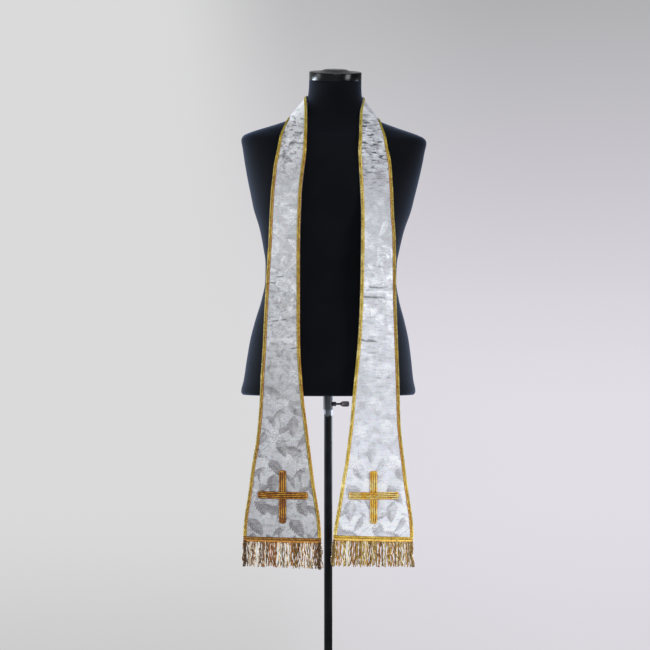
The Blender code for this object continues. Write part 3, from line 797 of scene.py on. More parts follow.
# The collar's profile: radius as a share of the shank's, and height from the shank's end
COLLAR = [(1.15, -0.0012), (1.75, 0.0004), (1.75, 0.0014), (1.2, 0.0026), (0, 0.0026)]
WING_FROM = SHANK_TO + 0.0012
WING_TO = 0.0485
WING_HEIGHT = 0.0125
WING_THICKNESS = 0.0042
WING_CORNER = 0.0042
WING_EDGE = 0.0005
OVAL_MARGIN = 0.0028
OVAL_SLOPE = 0.001
OVAL_DEPTH = 0.0009
SCREW_STEEL = (0.085, 0.070, 0.078)

shank_from = POLE_RADIUS + FIT_GAP
thread = [
    (SHANK_RADIUS - THREAD_DEPTH * (i % 2), shank_from + FIT_GAP + THREAD_RIDGE * i)
    for i in range(THREAD_RIDGES)
]
collar = [(share * SHANK_RADIUS, SHANK_TO + height) for share, height in COLLAR]
point = [(0, shank_from), (SHANK_RADIUS - TIP_CHAMFER, shank_from)]
shank = turned("wing_screw", point + thread + collar, 32)
for vertex in shank.data.vertices:
    vertex.co = Vector((vertex.co.z, vertex.co.y, SCREW_HEIGHT - vertex.co.x))
deselect()
bpy.ops.mesh.primitive_cube_add(size=1, location=((WING_FROM + WING_TO) / 2, 0, SCREW_HEIGHT))
wing = bpy.context.object
wing.dimensions = (WING_TO - WING_FROM, WING_THICKNESS, WING_HEIGHT)
bpy.ops.object.transform_apply(location=True, rotation=True, scale=True)


def runs_through(edge):
    """True for an edge that runs from one side of the wing to the other."""
    start, end = (wing.data.vertices[v].co.y for v in edge.vertices)
    return abs(start - end) > 0.5 * WING_THICKNESS


choose(wing, "EDGE", runs_through)
bpy.ops.mesh.bevel(offset=WING_CORNER, segments=6)
choose(wing, "FACE", lambda face: abs(face.normal.y) > 0.9)
bpy.ops.mesh.inset(thickness=OVAL_MARGIN)
bpy.ops.mesh.inset(thickness=OVAL_SLOPE, depth=-OVAL_DEPTH)
bpy.ops.object.mode_set(mode="OBJECT")
soften(wing, WING_EDGE)
screw = joined("wing_screw", [shank, wing])
bpy.ops.object.shade_smooth_by_angle(angle=radians(35))
finish_with(screw, drawn_steel("screw_steel", SCREW_STEEL, 0.34))
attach(screw, "clamp_screw")
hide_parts("clamp_screw")

# ---------------------------------------------------------------------------------------
# The stole: two shaped halves of silver-white brocade, sewn together at the centre back,
# that lie on the shoulders and the chest and hang plumb from there. The cloth has soft
# cross creases from folding, short crumples, and puckers where the braid is sewn down.
CLOTH_GAP = 0.001  # clear of the form
CLOTH_WALL = 0.002  # from there to the cloth's outer face
CLOTH_THICKNESS = 0.0015
CELLS_ACROSS = 56
CLOTH_STEP = 0.0022
CURVE_POINTS = 1200  # on the smooth curves through the rows, before they are spaced out
SMOOTHINGS = 24

# Round the neck, from the seam at the centre back to the collarbone. side is measured from
# the form's centre line, forward from the pole's plane, heights from the form's lower cut.
# share: how much of its half's inward shift the row takes.
NeckRow = namedtuple(
    "NeckRow",
    "inner_side inner_forward inner_height outer_side outer_forward outer_height share",
    defaults=(1,),
)
NECK_ROWS = [
    (0.00015, -0.0525, 0.679, 0.00015, -0.0815, 0.6145, 0),
    (0.031, -0.0455, 0.68, 0.046, -0.0765, 0.6165, 0),
    (0.051, -0.029, 0.683, 0.08, -0.06, 0.624, 0),
    (0.0625, -0.009, 0.685, 0.0985, -0.031, 0.63, 0),
    (0.0645, 0.011, 0.6825, 0.103, 0, 0.631, 0.3),
    (0.064, 0.024, 0.674, 0.1065, 0.031, 0.6205, 0.7),
    (0.0625, 0.042, 0.653, 0.112, 0.051, 0.6055),
    (0.0615, 0.057, 0.63, 0.119, 0.065, 0.589),
    (0.061, 0.069, 0.606, 0.123, 0.075, 0.572),
    (0.061, 0.08, 0.583, 0.1255, 0.082, 0.557),
]
NECK_ROWS = [NeckRow(*row) for row in NECK_ROWS]

# Down the front to the hem. height: of the inner edge above the form's lower cut; inner,
# outer: distances of the edges from the pole; bow: how far the middle stands forward of a
# straight line between the edges; slant: how much lower the outer edge lies.
FrontRow = namedtuple(
    "FrontRow", "height inner outer inner_forward outer_forward bow slant", defaults=(0, 0)
)
LEFT_ROWS = [
    (0.556, 0.0483, 0.1165, 0.0935, 0.0855, 0, 0.016),
    (0.515, 0.053, 0.1225, 0.109, 0.093, 0, 0.008),
    (0.459, 0.0588, 0.128, 0.1225, 0.1035, 0, 0.002),
    (0.409, 0.0609, 0.1307, 0.124, 0.105, 0.001),
    (0.349, 0.0628, 0.133, 0.124, 0.106, 0.002),
    (0.289, 0.0631, 0.137, 0.1235, 0.1065, 0.0025),
    (0.229, 0.0631, 0.1403, 0.1235, 0.1075, 0.003),
    (0.169, 0.0631, 0.1435, 0.124, 0.1085, 0.003),
    (0.109, 0.0625, 0.146, 0.1245, 0.1095, 0.0035),
    (0.049, 0.059, 0.15, 0.1245, 0.1105, 0.004),
    (-0.011, 0.0538, 0.153, 0.124, 0.1115, 0.004),
    (-0.061, 0.0475, 0.1567, 0.1235, 0.112, 0.0045),
    (-0.111, 0.0413, 0.1625, 0.123, 0.1125, 0.0045, -0.001),
    (-0.151, 0.0363, 0.1695, 0.1225, 0.113, 0.0045, -0.002),
    (-0.191, 0.0313, 0.175, 0.122, 0.1135, 0.0045, -0.0025),
    (-0.231, 0.0251, 0.18, 0.1215, 0.114, 0.004, -0.003),
    (-0.271, 0.0188, 0.1868, 0.121, 0.1145, 0.0035, -0.0035),
    (-0.316, 0.0155, 0.1903, 0.1205, 0.115, 0.003, -0.004),
    (-0.328, 0.016, 0.1896, 0.1205, 0.115, 0.003, -0.004),
]
RIGHT_ROWS = [
    (0.556, 0.0668, 0.1372, 0.0935, 0.0855, 0, 0.016),
    (0.515, 0.0683, 0.1413, 0.109, 0.093, 0, 0.008),
    (0.459, 0.0709, 0.1448, 0.121, 0.101, 0, 0.002),
    (0.409, 0.0729, 0.1465, 0.1225, 0.102, 0.001),
    (0.349, 0.0729, 0.1505, 0.123, 0.103, 0.002),
    (0.289, 0.0721, 0.151, 0.123, 0.104, 0.0025),
    (0.229, 0.0707, 0.1515, 0.123, 0.105, 0.003),
    (0.169, 0.0684, 0.1533, 0.1235, 0.1065, 0.003),
    (0.109, 0.0645, 0.1554, 0.124, 0.108, 0.0035),
    (0.049, 0.0585, 0.1576, 0.124, 0.1095, 0.004),
    (-0.011, 0.0528, 0.1595, 0.124, 0.1105, 0.004),
    (-0.061, 0.0484, 0.161, 0.1235, 0.111, 0.0045, 0.0005),
    (-0.111, 0.0422, 0.1661, 0.123, 0.1115, 0.0045, 0.0015),
    (-0.151, 0.0372, 0.1711, 0.1225, 0.112, 0.0045, 0.0025),
    (-0.191, 0.0299, 0.1761, 0.122, 0.1125, 0.0045, 0.0035),
    (-0.231, 0.0238, 0.1823, 0.1215, 0.113, 0.004, 0.0045),
    (-0.271, 0.0168, 0.1882, 0.121, 0.1135, 0.0035, 0.005),
    (-0.309, 0.0108, 0.1905, 0.1205, 0.114, 0.003, 0.005),
    (-0.321, 0.0118, 0.1892, 0.1205, 0.114, 0.003, 0.005),
]

# hand: -1 for the left half, 1 for the right; inward: its shift towards the neck at the front
Half = namedtuple("Half", "side hand inward rows")
HALVES = [Half("left", -1, 0, LEFT_ROWS), Half("right", 1, 0.005, RIGHT_ROWS)]


def control_rows(half):
    """The rows of one half of the stole: its inner edge, outer edge and bow, as numbers."""
    rows = []
    for row in NECK_ROWS:
        shift = half.inward * row.share
        inner_side = half.hand * (row.inner_side - shift)
        outer_side = half.hand * (row.outer_side - shift)
        inner = leaned(inner_side, -row.inner_forward, row.inner_height)
        outer = leaned(outer_side, -row.outer_forward, row.outer_height)
        rows.append((*inner, *outer, 0.0))
    for row in [FrontRow(*row) for row in half.rows]:
        inner = (half.hand * row.inner, -row.inner_forward, row.height)
        outer = (half.hand * row.outer, -row.outer_forward, row.height - row.slant)
        rows.append((*inner, *outer, row.bow))
    return rows


def length_to(points):
    """How far along its line each point lies."""
    steps = np.linalg.norm(np.diff(points, axis=0), axis=1)
    return np.concatenate([[0], np.cumsum(steps)])


def laid(points):
    """Moves the cloth's points out of the form, to lie just off it."""
    for row in points:
        for point in row:
            on_form, outward, _, _ = form_skin.find_nearest(point)
            if (Vector(point) - on_form).dot(outward) < CLOTH_GAP:
                point[:] = on_form + outward * CLOTH_GAP
    return points


def cloth_shape(half):
    """Where one half rests, in evenly spaced rows, and how far down it each row lies."""
    columns = list(zip(*control_rows(half)))
    knots = list(range(len(columns[0])))
    fine = np.linspace(0, knots[-1], CURVE_POINTS)
    lines = np.array([[eased(knots, column, t) for column in columns] for t in fine])
    length_at = length_to((lines[:, :3] + lines[:, 3:6]) / 2)
    down = np.linspace(0, length_at[-1], ceil(length_at[-1] / CLOTH_STEP) + 1)
    lines = np.stack([np.interp(down, length_at, line) for line in lines.T], axis=1)
    share = np.linspace(0, 1, CELLS_ACROSS + 1)[None, :, None]
    points = lines[:, None, :3] * (1 - share) + lines[:, None, 3:6] * share
    points[:, :, 1] -= 4 * (share * (1 - share))[:, :, 0] * lines[:, 6:7]
    points = laid(points + np.array(FORM_BASE))
    for _ in range(SMOOTHINGS):
        points[1:-1] = 0.5 * points[1:-1] + 0.25 * (points[:-2] + points[2:])
    return laid(points), down


# Creases, listed one by one. down, depth, width and fall are in millimetres. down: from the
# neck seam; across: from the inner edge to the outer, 0 to 1; reach: half its length, in the
# same measure; depth: a ridge's height, or below nought a trough's; width: half its width;
# fall: how much lower its outer end lies.
Crease = namedtuple("Crease", "down across reach depth width fall")
LEFT_CREASES = [
    (60, 0.5, 0.6, 0.9, 9, 10),
    (94, 0.3, 0.45, 0.8, 6, -12),
    (136, 0.7, 0.4, 1.1, 6, 14),
    (168, 0.35, 0.5, -0.7, 5, 8),
    (205, 0.6, 0.45, 0.8, 5.5, -10),
    (262, 0.3, 0.35, -0.6, 4, 4),
    (297, 0.55, 0.55, 0.6, 5, -6),
    (338, 0.7, 0.35, -0.6, 3.5, 3),
    (371, 0.4, 0.5, 0.9, 6, -9),
    (396, 0.55, 0.6, -0.9, 4.5, -5),
    (418, 0.3, 0.4, 0.8, 5, 6),
    (447, 0.6, 0.5, 0.8, 6, -4),
    (470, 0.35, 0.35, -1, 3, -3),
    (500, 0.55, 0.62, 1.1, 6, 3),
    (522, 0.5, 0.7, -0.5, 3, -2),
    (545, 0.25, 0.3, 0.7, 4, 4),
    (556, 0.62, 0.17, -2.4, 1.9, 2),
    (570, 0.79, 0.17, -2.4, 1.9, 2),
    (592, 0.85, 0.2, -0.8, 2.4, 4),
    (612, 0.3, 0.35, 1, 4.5, 6),
    (636, 0.22, 0.24, -1.5, 2, 6),
    (643, 0.5, 0.6, 1, 3.2, 10),
    (653, 0.55, 0.62, -1.6, 2.1, 12),
    (662, 0.45, 0.6, 1.2, 3.4, 10),
    (701, 0.45, 0.6, 0.9, 7, -5),
    (716, 0.2, 0.26, -1.5, 2.2, 4),
    (733, 0.45, 0.4, -0.9, 3, 8),
    (770, 0.6, 0.5, 1, 8, 8),
    (804, 0.5, 0.62, -0.5, 3.5, -4),
    (846, 0.4, 0.55, 1, 8, -10),
    (889, 0.7, 0.28, -0.8, 3.5, 4),
    (930, 0.45, 0.45, 0.9, 9, 12),
    (968, 0.25, 0.25, -0.8, 4, 6),
    (1018, 0.8, 0.22, 0.8, 6, -10),
    (1086, 0.3, 0.25, 0.8, 6, 8),
    (1112, 0.7, 0.3, -0.8, 5, 2),
]
RIGHT_CREASES = [
    (56, 0.45, 0.6, 0.9, 9, -8),
    (98, 0.65, 0.45, 0.9, 6, 12),
    (131, 0.35, 0.4, -0.8, 5, -6),
    (163, 0.6, 0.5, 1, 5.5, 10),
    (192, 0.4, 0.55, -0.8, 3.5, -4),
    (213, 0.6, 0.5, 0.8, 4, 6),
    (232, 0.45, 0.45, -0.9, 3, 3),
    (261, 0.65, 0.4, 0.8, 4, -5),
    (283, 0.35, 0.4, -0.9, 3, 2),
    (301, 0.55, 0.6, 0.9, 4.5, -2),
    (318, 0.45, 0.65, -1.1, 3, 1),
    (352, 0.6, 0.5, 0.7, 6, 4),
    (391, 0.4, 0.45, -0.6, 4, 5),
    (432, 0.5, 0.55, 0.9, 7, -6),
    (462, 0.35, 0.3, -0.8, 3, 4),
    (496, 0.6, 0.45, 0.9, 6, 5),
    (529, 0.55, 0.75, -1.2, 2.8, 1),
    (551, 0.45, 0.6, 0.9, 5, -3),
    (576, 0.48, 0.9, -2, 2.4, 1),
    (586, 0.45, 0.75, 1.8, 4.2, 1),
    (598, 0.35, 0.62, -2.1, 2.5, 4),
    (606, 0.6, 0.5, 1.4, 3.4, 2),
    (618, 0.6, 0.4, 0.9, 4.5, 4),
    (655, 0.35, 0.4, -0.8, 3.4, -4),
    (684, 0.6, 0.5, 1.2, 5, 10),
    (694, 0.22, 0.34, -2, 3.4, 12),
    (722, 0.4, 0.35, -0.9, 3, 2),
    (756, 0.55, 0.6, 0.9, 7.5, -6),
    (778, 0.62, 0.34, -1.4, 2.6, 2),
    (801, 0.5, 0.55, -0.5, 3.2, 4),
    (832, 0.4, 0.5, 1, 8, 8),
    (870, 0.65, 0.3, -0.9, 4, -3),
    (911, 0.4, 0.55, 0.9, 9, 10),
    (952, 0.75, 0.22, -0.8, 4, 4),
    (990, 0.2, 0.2, 0.8, 5, 8),
    (1030, 0.8, 0.2, -0.8, 4.5, -6),
    (1088, 0.7, 0.28, 0.9, 7, -8),
    (1108, 0.25, 0.25, -0.8, 5, 4),
]
CREASES = {"left": LEFT_CREASES, "right": RIGHT_CREASES}
CREASE_DEPTH = 1.35  # all creases are that much deeper than their table says
# At this depth the painted shade in a crease's trough, and the painted highlight on a ridge, show in
# full.
CREASE_FULL = 0.0015  # a depth at which a crease's line shows in full

# Soft ridges that run down the cloth, and troughs where the height is below nought. share:
# across, from the inner edge to the outer; start, end: down from the neck seam, in metres
Ridge = namedtuple("Ridge", "share start end height width")
RIDGES = {
    "left": [
        Ridge(0.30, 0.46, 0.80, 0.0009, 0.006),
        Ridge(0.72, 0.62, 0.98, 0.0011, 0.008),
        Ridge(0.40, 0.86, 1.16, 0.0014, 0.013),
        Ridge(0.82, 0.96, 1.16, -0.0012, 0.011),
    ],
    "right": [
        Ridge(0.72, 0.46, 0.74, 0.0016, 0.0052),
        Ridge(0.30, 0.60, 0.92, 0.0010, 0.0075),
        Ridge(0.62, 0.84, 1.16, 0.0014, 0.013),
        Ridge(0.22, 0.94, 1.16, -0.0012, 0.011),
    ],
}
PUCKER_DEPTH = 0.00032
PUCKER_SPACING = 0.0078
PUCKER_REACH = 0.0085
# How the puckers vary down the cloth: by what share, in radians to a metre, and from where
PUCKER_DRIFTS = [(0.35, 41, 1.3), (0.3, 97, 0)]

# Down the cloth, for each half: the painted light on its silver figure, from turned away from the
# light to turned to it, the painted light and shade that set how bright the cloth is, how much the
# figure shows, and how much it is crumpled, which sets its relief and its painted crumple shade
Tone = namedtuple(
    "Tone",
    "down left_turn right_turn left_tone right_tone left_figure right_figure left_marks right_marks",
)
TONES = [
    (0, 0.55, 0.55, 1, 1, 0.6, 0.6, 0.2, 0.2),
    (0.12, 0.9, 0.6, 1.56, 1.38, 0.7, 0.6, 0.3, 0.2),
    (0.16, 0.8, 0.4, 1.52, 1.32, 0.9, 0.6, 0.6, 0.4),
    (0.21, 0.35, 0.15, 1.26, 1.22, 1, 0.6, 1.1, 1.3),
    (0.27, 0.25, 0.05, 1.1, 0.98, 0.95, 0.6, 0.9, 1.8),
    (0.32, 0.5, 0.15, 0.88, 0.89, 0.7, 0.45, 0.5, 0.8),
    (0.36, 0.8, 0.45, 0.94, 0.83, 0.6, 0.4, 0.2, 0.35),
    (0.41, 1, 0.9, 0.98, 0.92, 1.05, 0.6, 0.2, 0.1),
    (0.5, 0.95, 0.95, 0.97, 0.95, 1.1, 1.1, 0.2, 0.15),
    (0.56, 0.75, 0.85, 0.93, 1.11, 1.1, 1.05, 0.45, 0.35),
    (0.62, 0.65, 0.75, 0.91, 1.18, 1.1, 0.95, 0.5, 0.35),
    (0.7, 0.48, 0.62, 0.99, 1.18, 1, 0.8, 0.5, 0.3),
    (0.8, 0.3, 0.5, 0.86, 1.16, 0.85, 0.6, 0.3, 0.2),
    (0.9, 0.16, 0.38, 0.94, 1.28, 0.95, 0.55, 0.3, 0.15),
    (1, 0.05, 0.26, 0.97, 1.44, 1.05, 0.9, 0.3, 0.15),
    (1.16, 0.02, 0.18, 0.84, 1.5, 1.05, 1, 0.35, 0.2),
]
TONES = [Tone(*row) for row in TONES]


def hill(away, reach):
    """1 in the middle of a reach, 0 at its ends and beyond."""
    return np.clip(1 - (away / reach) ** 2, 0, 1)


def crease_heights(side, down, share, width):
    """How far the creases lift or sink each point of the cloth, and how strong their painted shade and
    highlights are.
    """
    lift = np.zeros(np.broadcast_shapes(down.shape, share.shape))
    for crease in [Crease(*row) for row in CREASES[side]]:
        off = share - crease.across
        away = (1000 * down - crease.down - crease.fall * off) / crease.width
        depth = CREASE_DEPTH * crease.depth / 1000
        lift += depth * np.exp(-(away**2)) * hill(off, crease.reach)
    folds = lift / CREASE_FULL
    for ridge in RIDGES[side]:
        middle, half = (ridge.start + ridge.end) / 2, (ridge.end - ridge.start) / 2
        away = (share - ridge.share) * width / ridge.width
        lift += ridge.height * np.exp(-(away**2)) * hill(down - middle, half)
    uneven = sum(by * np.sin(down * rate + start) for by, rate, start in PUCKER_DRIFTS)
    for edge in (share, 1 - share):
        near = np.exp(-((edge * width / PUCKER_REACH) ** 2))
        phase = 2 * pi * down / PUCKER_SPACING + 4 * uneven + 2 * edge
        lift += PUCKER_DEPTH * np.sin(phase) * near * (0.6 + uneven)
    return lift, folds


class Cloth:
    """The outer face of one half: its points, their normals, and where they lie on the cut."""

    def __init__(self, half):
        resting, self.down = cloth_shape(half)
        self.hand = half.hand
        self.widths = np.linalg.norm(np.diff(resting, axis=1), axis=2).sum(axis=1)
        share = np.linspace(0, 1, CELLS_ACROSS + 1)[None]
        down, width = self.down[:, None], self.widths[:, None]
        lift, self.folds = crease_heights(half.side, down, share, width)
        height = CLOTH_WALL + np.maximum(lift, -CLOTH_GAP)
        self.points = resting + self.outward(resting) * height[:, :, None]
        self.normals = self.outward(self.points)

    def outward(self, points):
        """The unit normals of a grid of points, away from the form."""
        down, across = np.gradient(points, axis=0), np.gradient(points, axis=1)
        return unit(np.cross(across, down)) * -self.hand

    def width(self, down):
        return np.interp(down, self.down, self.widths)

    def at(self, down, across, height=0.0):
        """Points over the cloth, down and across in metres from the neck seam and inner edge."""
        down, across, height = np.broadcast_arrays(down, across, height)
        row = np.interp(down, self.down, np.arange(len(self.down)))
        column = np.clip(across / self.width(down), 0, 1) * CELLS_ACROSS
        r = np.minimum(row.astype(int), len(self.down) - 2)
        c = np.minimum(column.astype(int), CELLS_ACROSS - 1)
        low, left = (row - r)[..., None], (column - c)[..., None]
        found = []
        for grid in (self.points, self.normals):
            upper = grid[r, c] * (1 - left) + grid[r, c + 1] * left
            lower = grid[r + 1, c] * (1 - left) + grid[r + 1, c + 1] * left
            found.append(upper * (1 - low) + lower * low)
        return found[0] + found[1] * height[..., None]


# The brocade's repeat, in millimetres on the flat cloth: large serrated leaves, narrow
# sprays and full flowers, turned by degrees. The next repeat down lies REPEAT_SHIFT to the
# right.
REPEAT_WIDTH = 92.0
REPEAT_HEIGHT = 132.0
REPEAT_SHIFT = 46.0
Leaf = namedtuple("Leaf", "across down turn length width bend")
LEAVES = [
    Leaf(20, -50, 50, 56, 28, 4),
    Leaf(-22, -60, 140, 42, 13, -3),
    Leaf(-38, -12, 200, 46, 22, 4),
    Leaf(30, -4, 70, 52, 26, -4),
    Leaf(-14, 12, 118, 46, 15, 4),
    Leaf(38, 36, -30, 38, 12, 3),
    Leaf(-36, 42, 95, 52, 26, -3),
    Leaf(8, 52, 58, 38, 13, 3),
    Leaf(-10, -26, 15, 34, 9, 3),
    Leaf(26, 64, 100, 34, 8, -3.5),
    Leaf(-4, 34, 30, 26, 7, 3),
]
Flower = namedtuple("Flower", "across down turn radius petals")
FLOWERS = [
    Flower(-15, -39, 60, 19, 7),
    Flower(17, 20, 150, 17, 6),
    Flower(46, -30, -80, 12, 5),
]
TOOTH = 3.4  # of a leaf's edge, and the distance between its veins
SMALL_FAN = 0.85  # of a flower, as a share of its radius, and its large one
LARGE_FAN = 1.5
STEM_SWING = 15.0
GROUND_DARK = (0.535, 0.538, 0.555)
GROUND_LIGHT = (0.645, 0.650, 0.675)
# The silver figure's colours in painted shade and in painted light:
FIGURE_PAINTED_SHADE = (0.235, 0.220, 0.230)
FIGURE_PAINTED_LIGHT = (0.930, 0.950, 0.975)
# A painted highlight on single floats:
GLINT = (0.980, 0.985, 1.000)
# Painted shade and painted highlights on crumples and creases:
PAINTED_FOLD_SHADE = (0.085, 0.095, 0.100)
PAINTED_FOLD_HIGHLIGHT = (0.920, 0.935, 0.955)
WHITEST = (0.97, 0.97, 0.97)
REVERSE_CONTRAST = 0.35

# The weave of each half: where its pattern starts, the crumples for each millimetre across
# and down, how gritty it looks, and a painted tint of the light on it
Weave = namedtuple("Weave", "start mark_scale grit cast")
WEAVES = {
    "left": Weave((-14, 8, 0), (0.085, 0.120, 1), 0.13, (1, 1, 1)),
    "right": Weave((19, 61, 0), (0.055, 0.220, 1), 0.07, (0.976, 0.993, 1.032)),
}


def motif_group(name, columns):
    """A node group that draws one motif. Its inputs are a spot on the cloth and the columns
    of the motif's table, which it gives as wires."""
    group = bpy.data.node_groups.new(name, "ShaderNodeTree")
    kinds = {"spot": "NodeSocketVector", **{column: "NodeSocketFloat" for column in columns}}
    for title, kind in kinds.items():
        group.interface.new_socket(title, in_out="INPUT", socket_type=kind)
    group.interface.new_socket("figure", in_out="OUTPUT", socket_type="NodeSocketFloat")
    start = group.nodes.new("NodeGroupInput")
    return group, {title: Wire(start.outputs[title]) for title in kinds}


def finish_group(group, figure):
    feed(group.nodes.new("NodeGroupOutput").inputs["figure"], figure)
    return group


def flat_spot(x, y):
    return new_node(x.tree, "CombineXYZ", {0: x, 1: y})


def in_repeat(x):
    """A distance across, from the nearest repeat's middle."""
    return x.maths("WRAP", REPEAT_WIDTH / 2, -REPEAT_WIDTH / 2)


def placed(given):
    """The spot's x and y on the nearest copy of a motif, with the motif at the origin, along X."""
    x, y, _ = parts_of(given["spot"])
    x, y = x - given["across"], y - given["down"]
    repeat = (y / REPEAT_HEIGHT).maths("ROUND")
    spot = flat_spot(in_repeat(x - repeat * REPEAT_SHIFT), y - repeat * REPEAT_HEIGHT)
    turning = {"Vector": spot, "Angle": given["turn"]}
    spot = new_node(x.tree, "VectorRotate", turning, rotation_type="Z_AXIS")
    return parts_of(spot)[:2]


def leaf_figure():
    """One serrated leaf along X: a clear midrib and slanting veins, one side paler."""
    group, given = motif_group("leaf_figure", Leaf._fields)
    x, y = placed(given)
    share = x / (given["length"] * 0.5)
    squared = share * share
    y = squared * given["bend"] + y
    off = abs(y)
    teeth = (off * -1.1 + x).maths("PINGPONG", TOOTH)
    outline = (1.0 - squared).at_least(0.0) * (share * -0.32 + 1.0)
    half = outline * (given["width"] * 0.5) * (teeth * 0.09 + 0.80)
    inside = faded(half - off, -0.2, 1.3)
    threads = faded(off, 0.5, 1.2).maths("MINIMUM", faded(teeth, 0.3, 1.3))
    paler = faded(y, -0.6, 0.6, 1.0, 0.72)
    return finish_group(group, inside * (threads * 0.22 + 0.74) * paler)


def flower_figure():
    """One full flower seen from the side: a fan of lobed petals behind a smaller one, each
    with a pale rim and fine veins that run to the stalk."""
    group, given = motif_group("flower_figure", Flower._fields)
    x, y = placed(given)
    x = given["radius"] * 0.5 + x
    from_stalk = vectors("LENGTH", flat_spot(x, y), out="Value")
    turn = y.maths("ARCTAN2", x)
    opened = turn.maths("COSINE") * 0.50 + 0.50
    lobes = turn * given["petals"]
    streaks = faded(abs((lobes * 2.2).maths("SINE")), 0.30, 0.85, 0.05, 0.55)
    lobe = abs((lobes * 0.5).maths("COSINE")) * 0.30 + 0.70
    fans = []
    for size in (LARGE_FAN, SMALL_FAN):
        depth = lobe * (given["radius"] * size) * opened - from_stalk
        rim = faded(depth, 2.2, 1.3)
        fans.append(faded(depth, 0.0, 0.9) * rim.at_least(streaks))
    return finish_group(group, fans[0].at_least(fans[1]))


leaf_group = leaf_figure()
flower_group = flower_figure()


def strongest(group, spot, motifs):
    """How strongly any of the motifs in a table shows at a spot."""
    figure = None
    for motif in motifs:
        inputs = {"spot": spot, **motif._asdict(), "turn": radians(motif.turn)}
        one = new_node(spot.tree, "Group", inputs, node_tree=group)
        figure = figure.at_least(one) if figure else one
    return figure


def shifted(spot, scale, reach):
    """The spot moved about by noise, so that the weave's outlines aren't drawn with a ruler."""
    wander = vectors("SUBTRACT", noise(spot, scale, 1.0, out="Color"), (0.5, 0.5, 0.5))
    return vectors("MULTIPLY_ADD", wander, (reach, reach, 0.0), spot)


def woven_figure(in_mm, start):
    """How strongly the leaves, which a wavy stem joins, and the flowers show at a spot."""
    spot = vectors("ADD", shifted(shifted(in_mm, 0.022, 9.0), 0.13, 1.3), start)
    x, y, _ = parts_of(spot)
    swing = (y * (2 * pi / REPEAT_HEIGHT)).maths("SINE")
    from_stem = in_repeat(x - swing * STEM_SWING - y * (REPEAT_SHIFT / REPEAT_HEIGHT))
    stem = faded(abs(from_stem), 1.4, 0.6)
    leaves = strongest(leaf_group, spot, LEAVES).at_least(stem * 0.7)
    return leaves, strongest(flower_group, spot, FLOWERS)


def satin_ground(in_mm, patchy):
    """Silver-white silk: cloudy, with fine lines across it where the weft floats, mottled."""
    cloudy = faded(noise(in_mm, 0.012, 5.0), 0.3, 0.7)
    ground = blend(cloudy, GROUND_DARK, GROUND_LIGHT)
    ground = scaled(ground, faded(patchy, 0.25, 0.75, 0.92, 1.08))
    lines = stretched(in_mm, (0.018, 0.42, 1), 2.0)
    ground = scaled(ground, faded(lines, 0.30, 0.70, 0.96, 1.04))
    mottled = noise(in_mm, 0.17, 3.0, out="Color")
    tint = vectors("MULTIPLY_ADD", mottled, (0.30, 0.27, 0.30), (0.85, 0.865, 0.85))
    return vectors("MULTIPLY", ground, tint)


def stored(tree, name, out="Fac"):
    """A value that is stored for each point of the piece."""
    return new_node(tree, "Attribute", out=out, attribute_name=name)


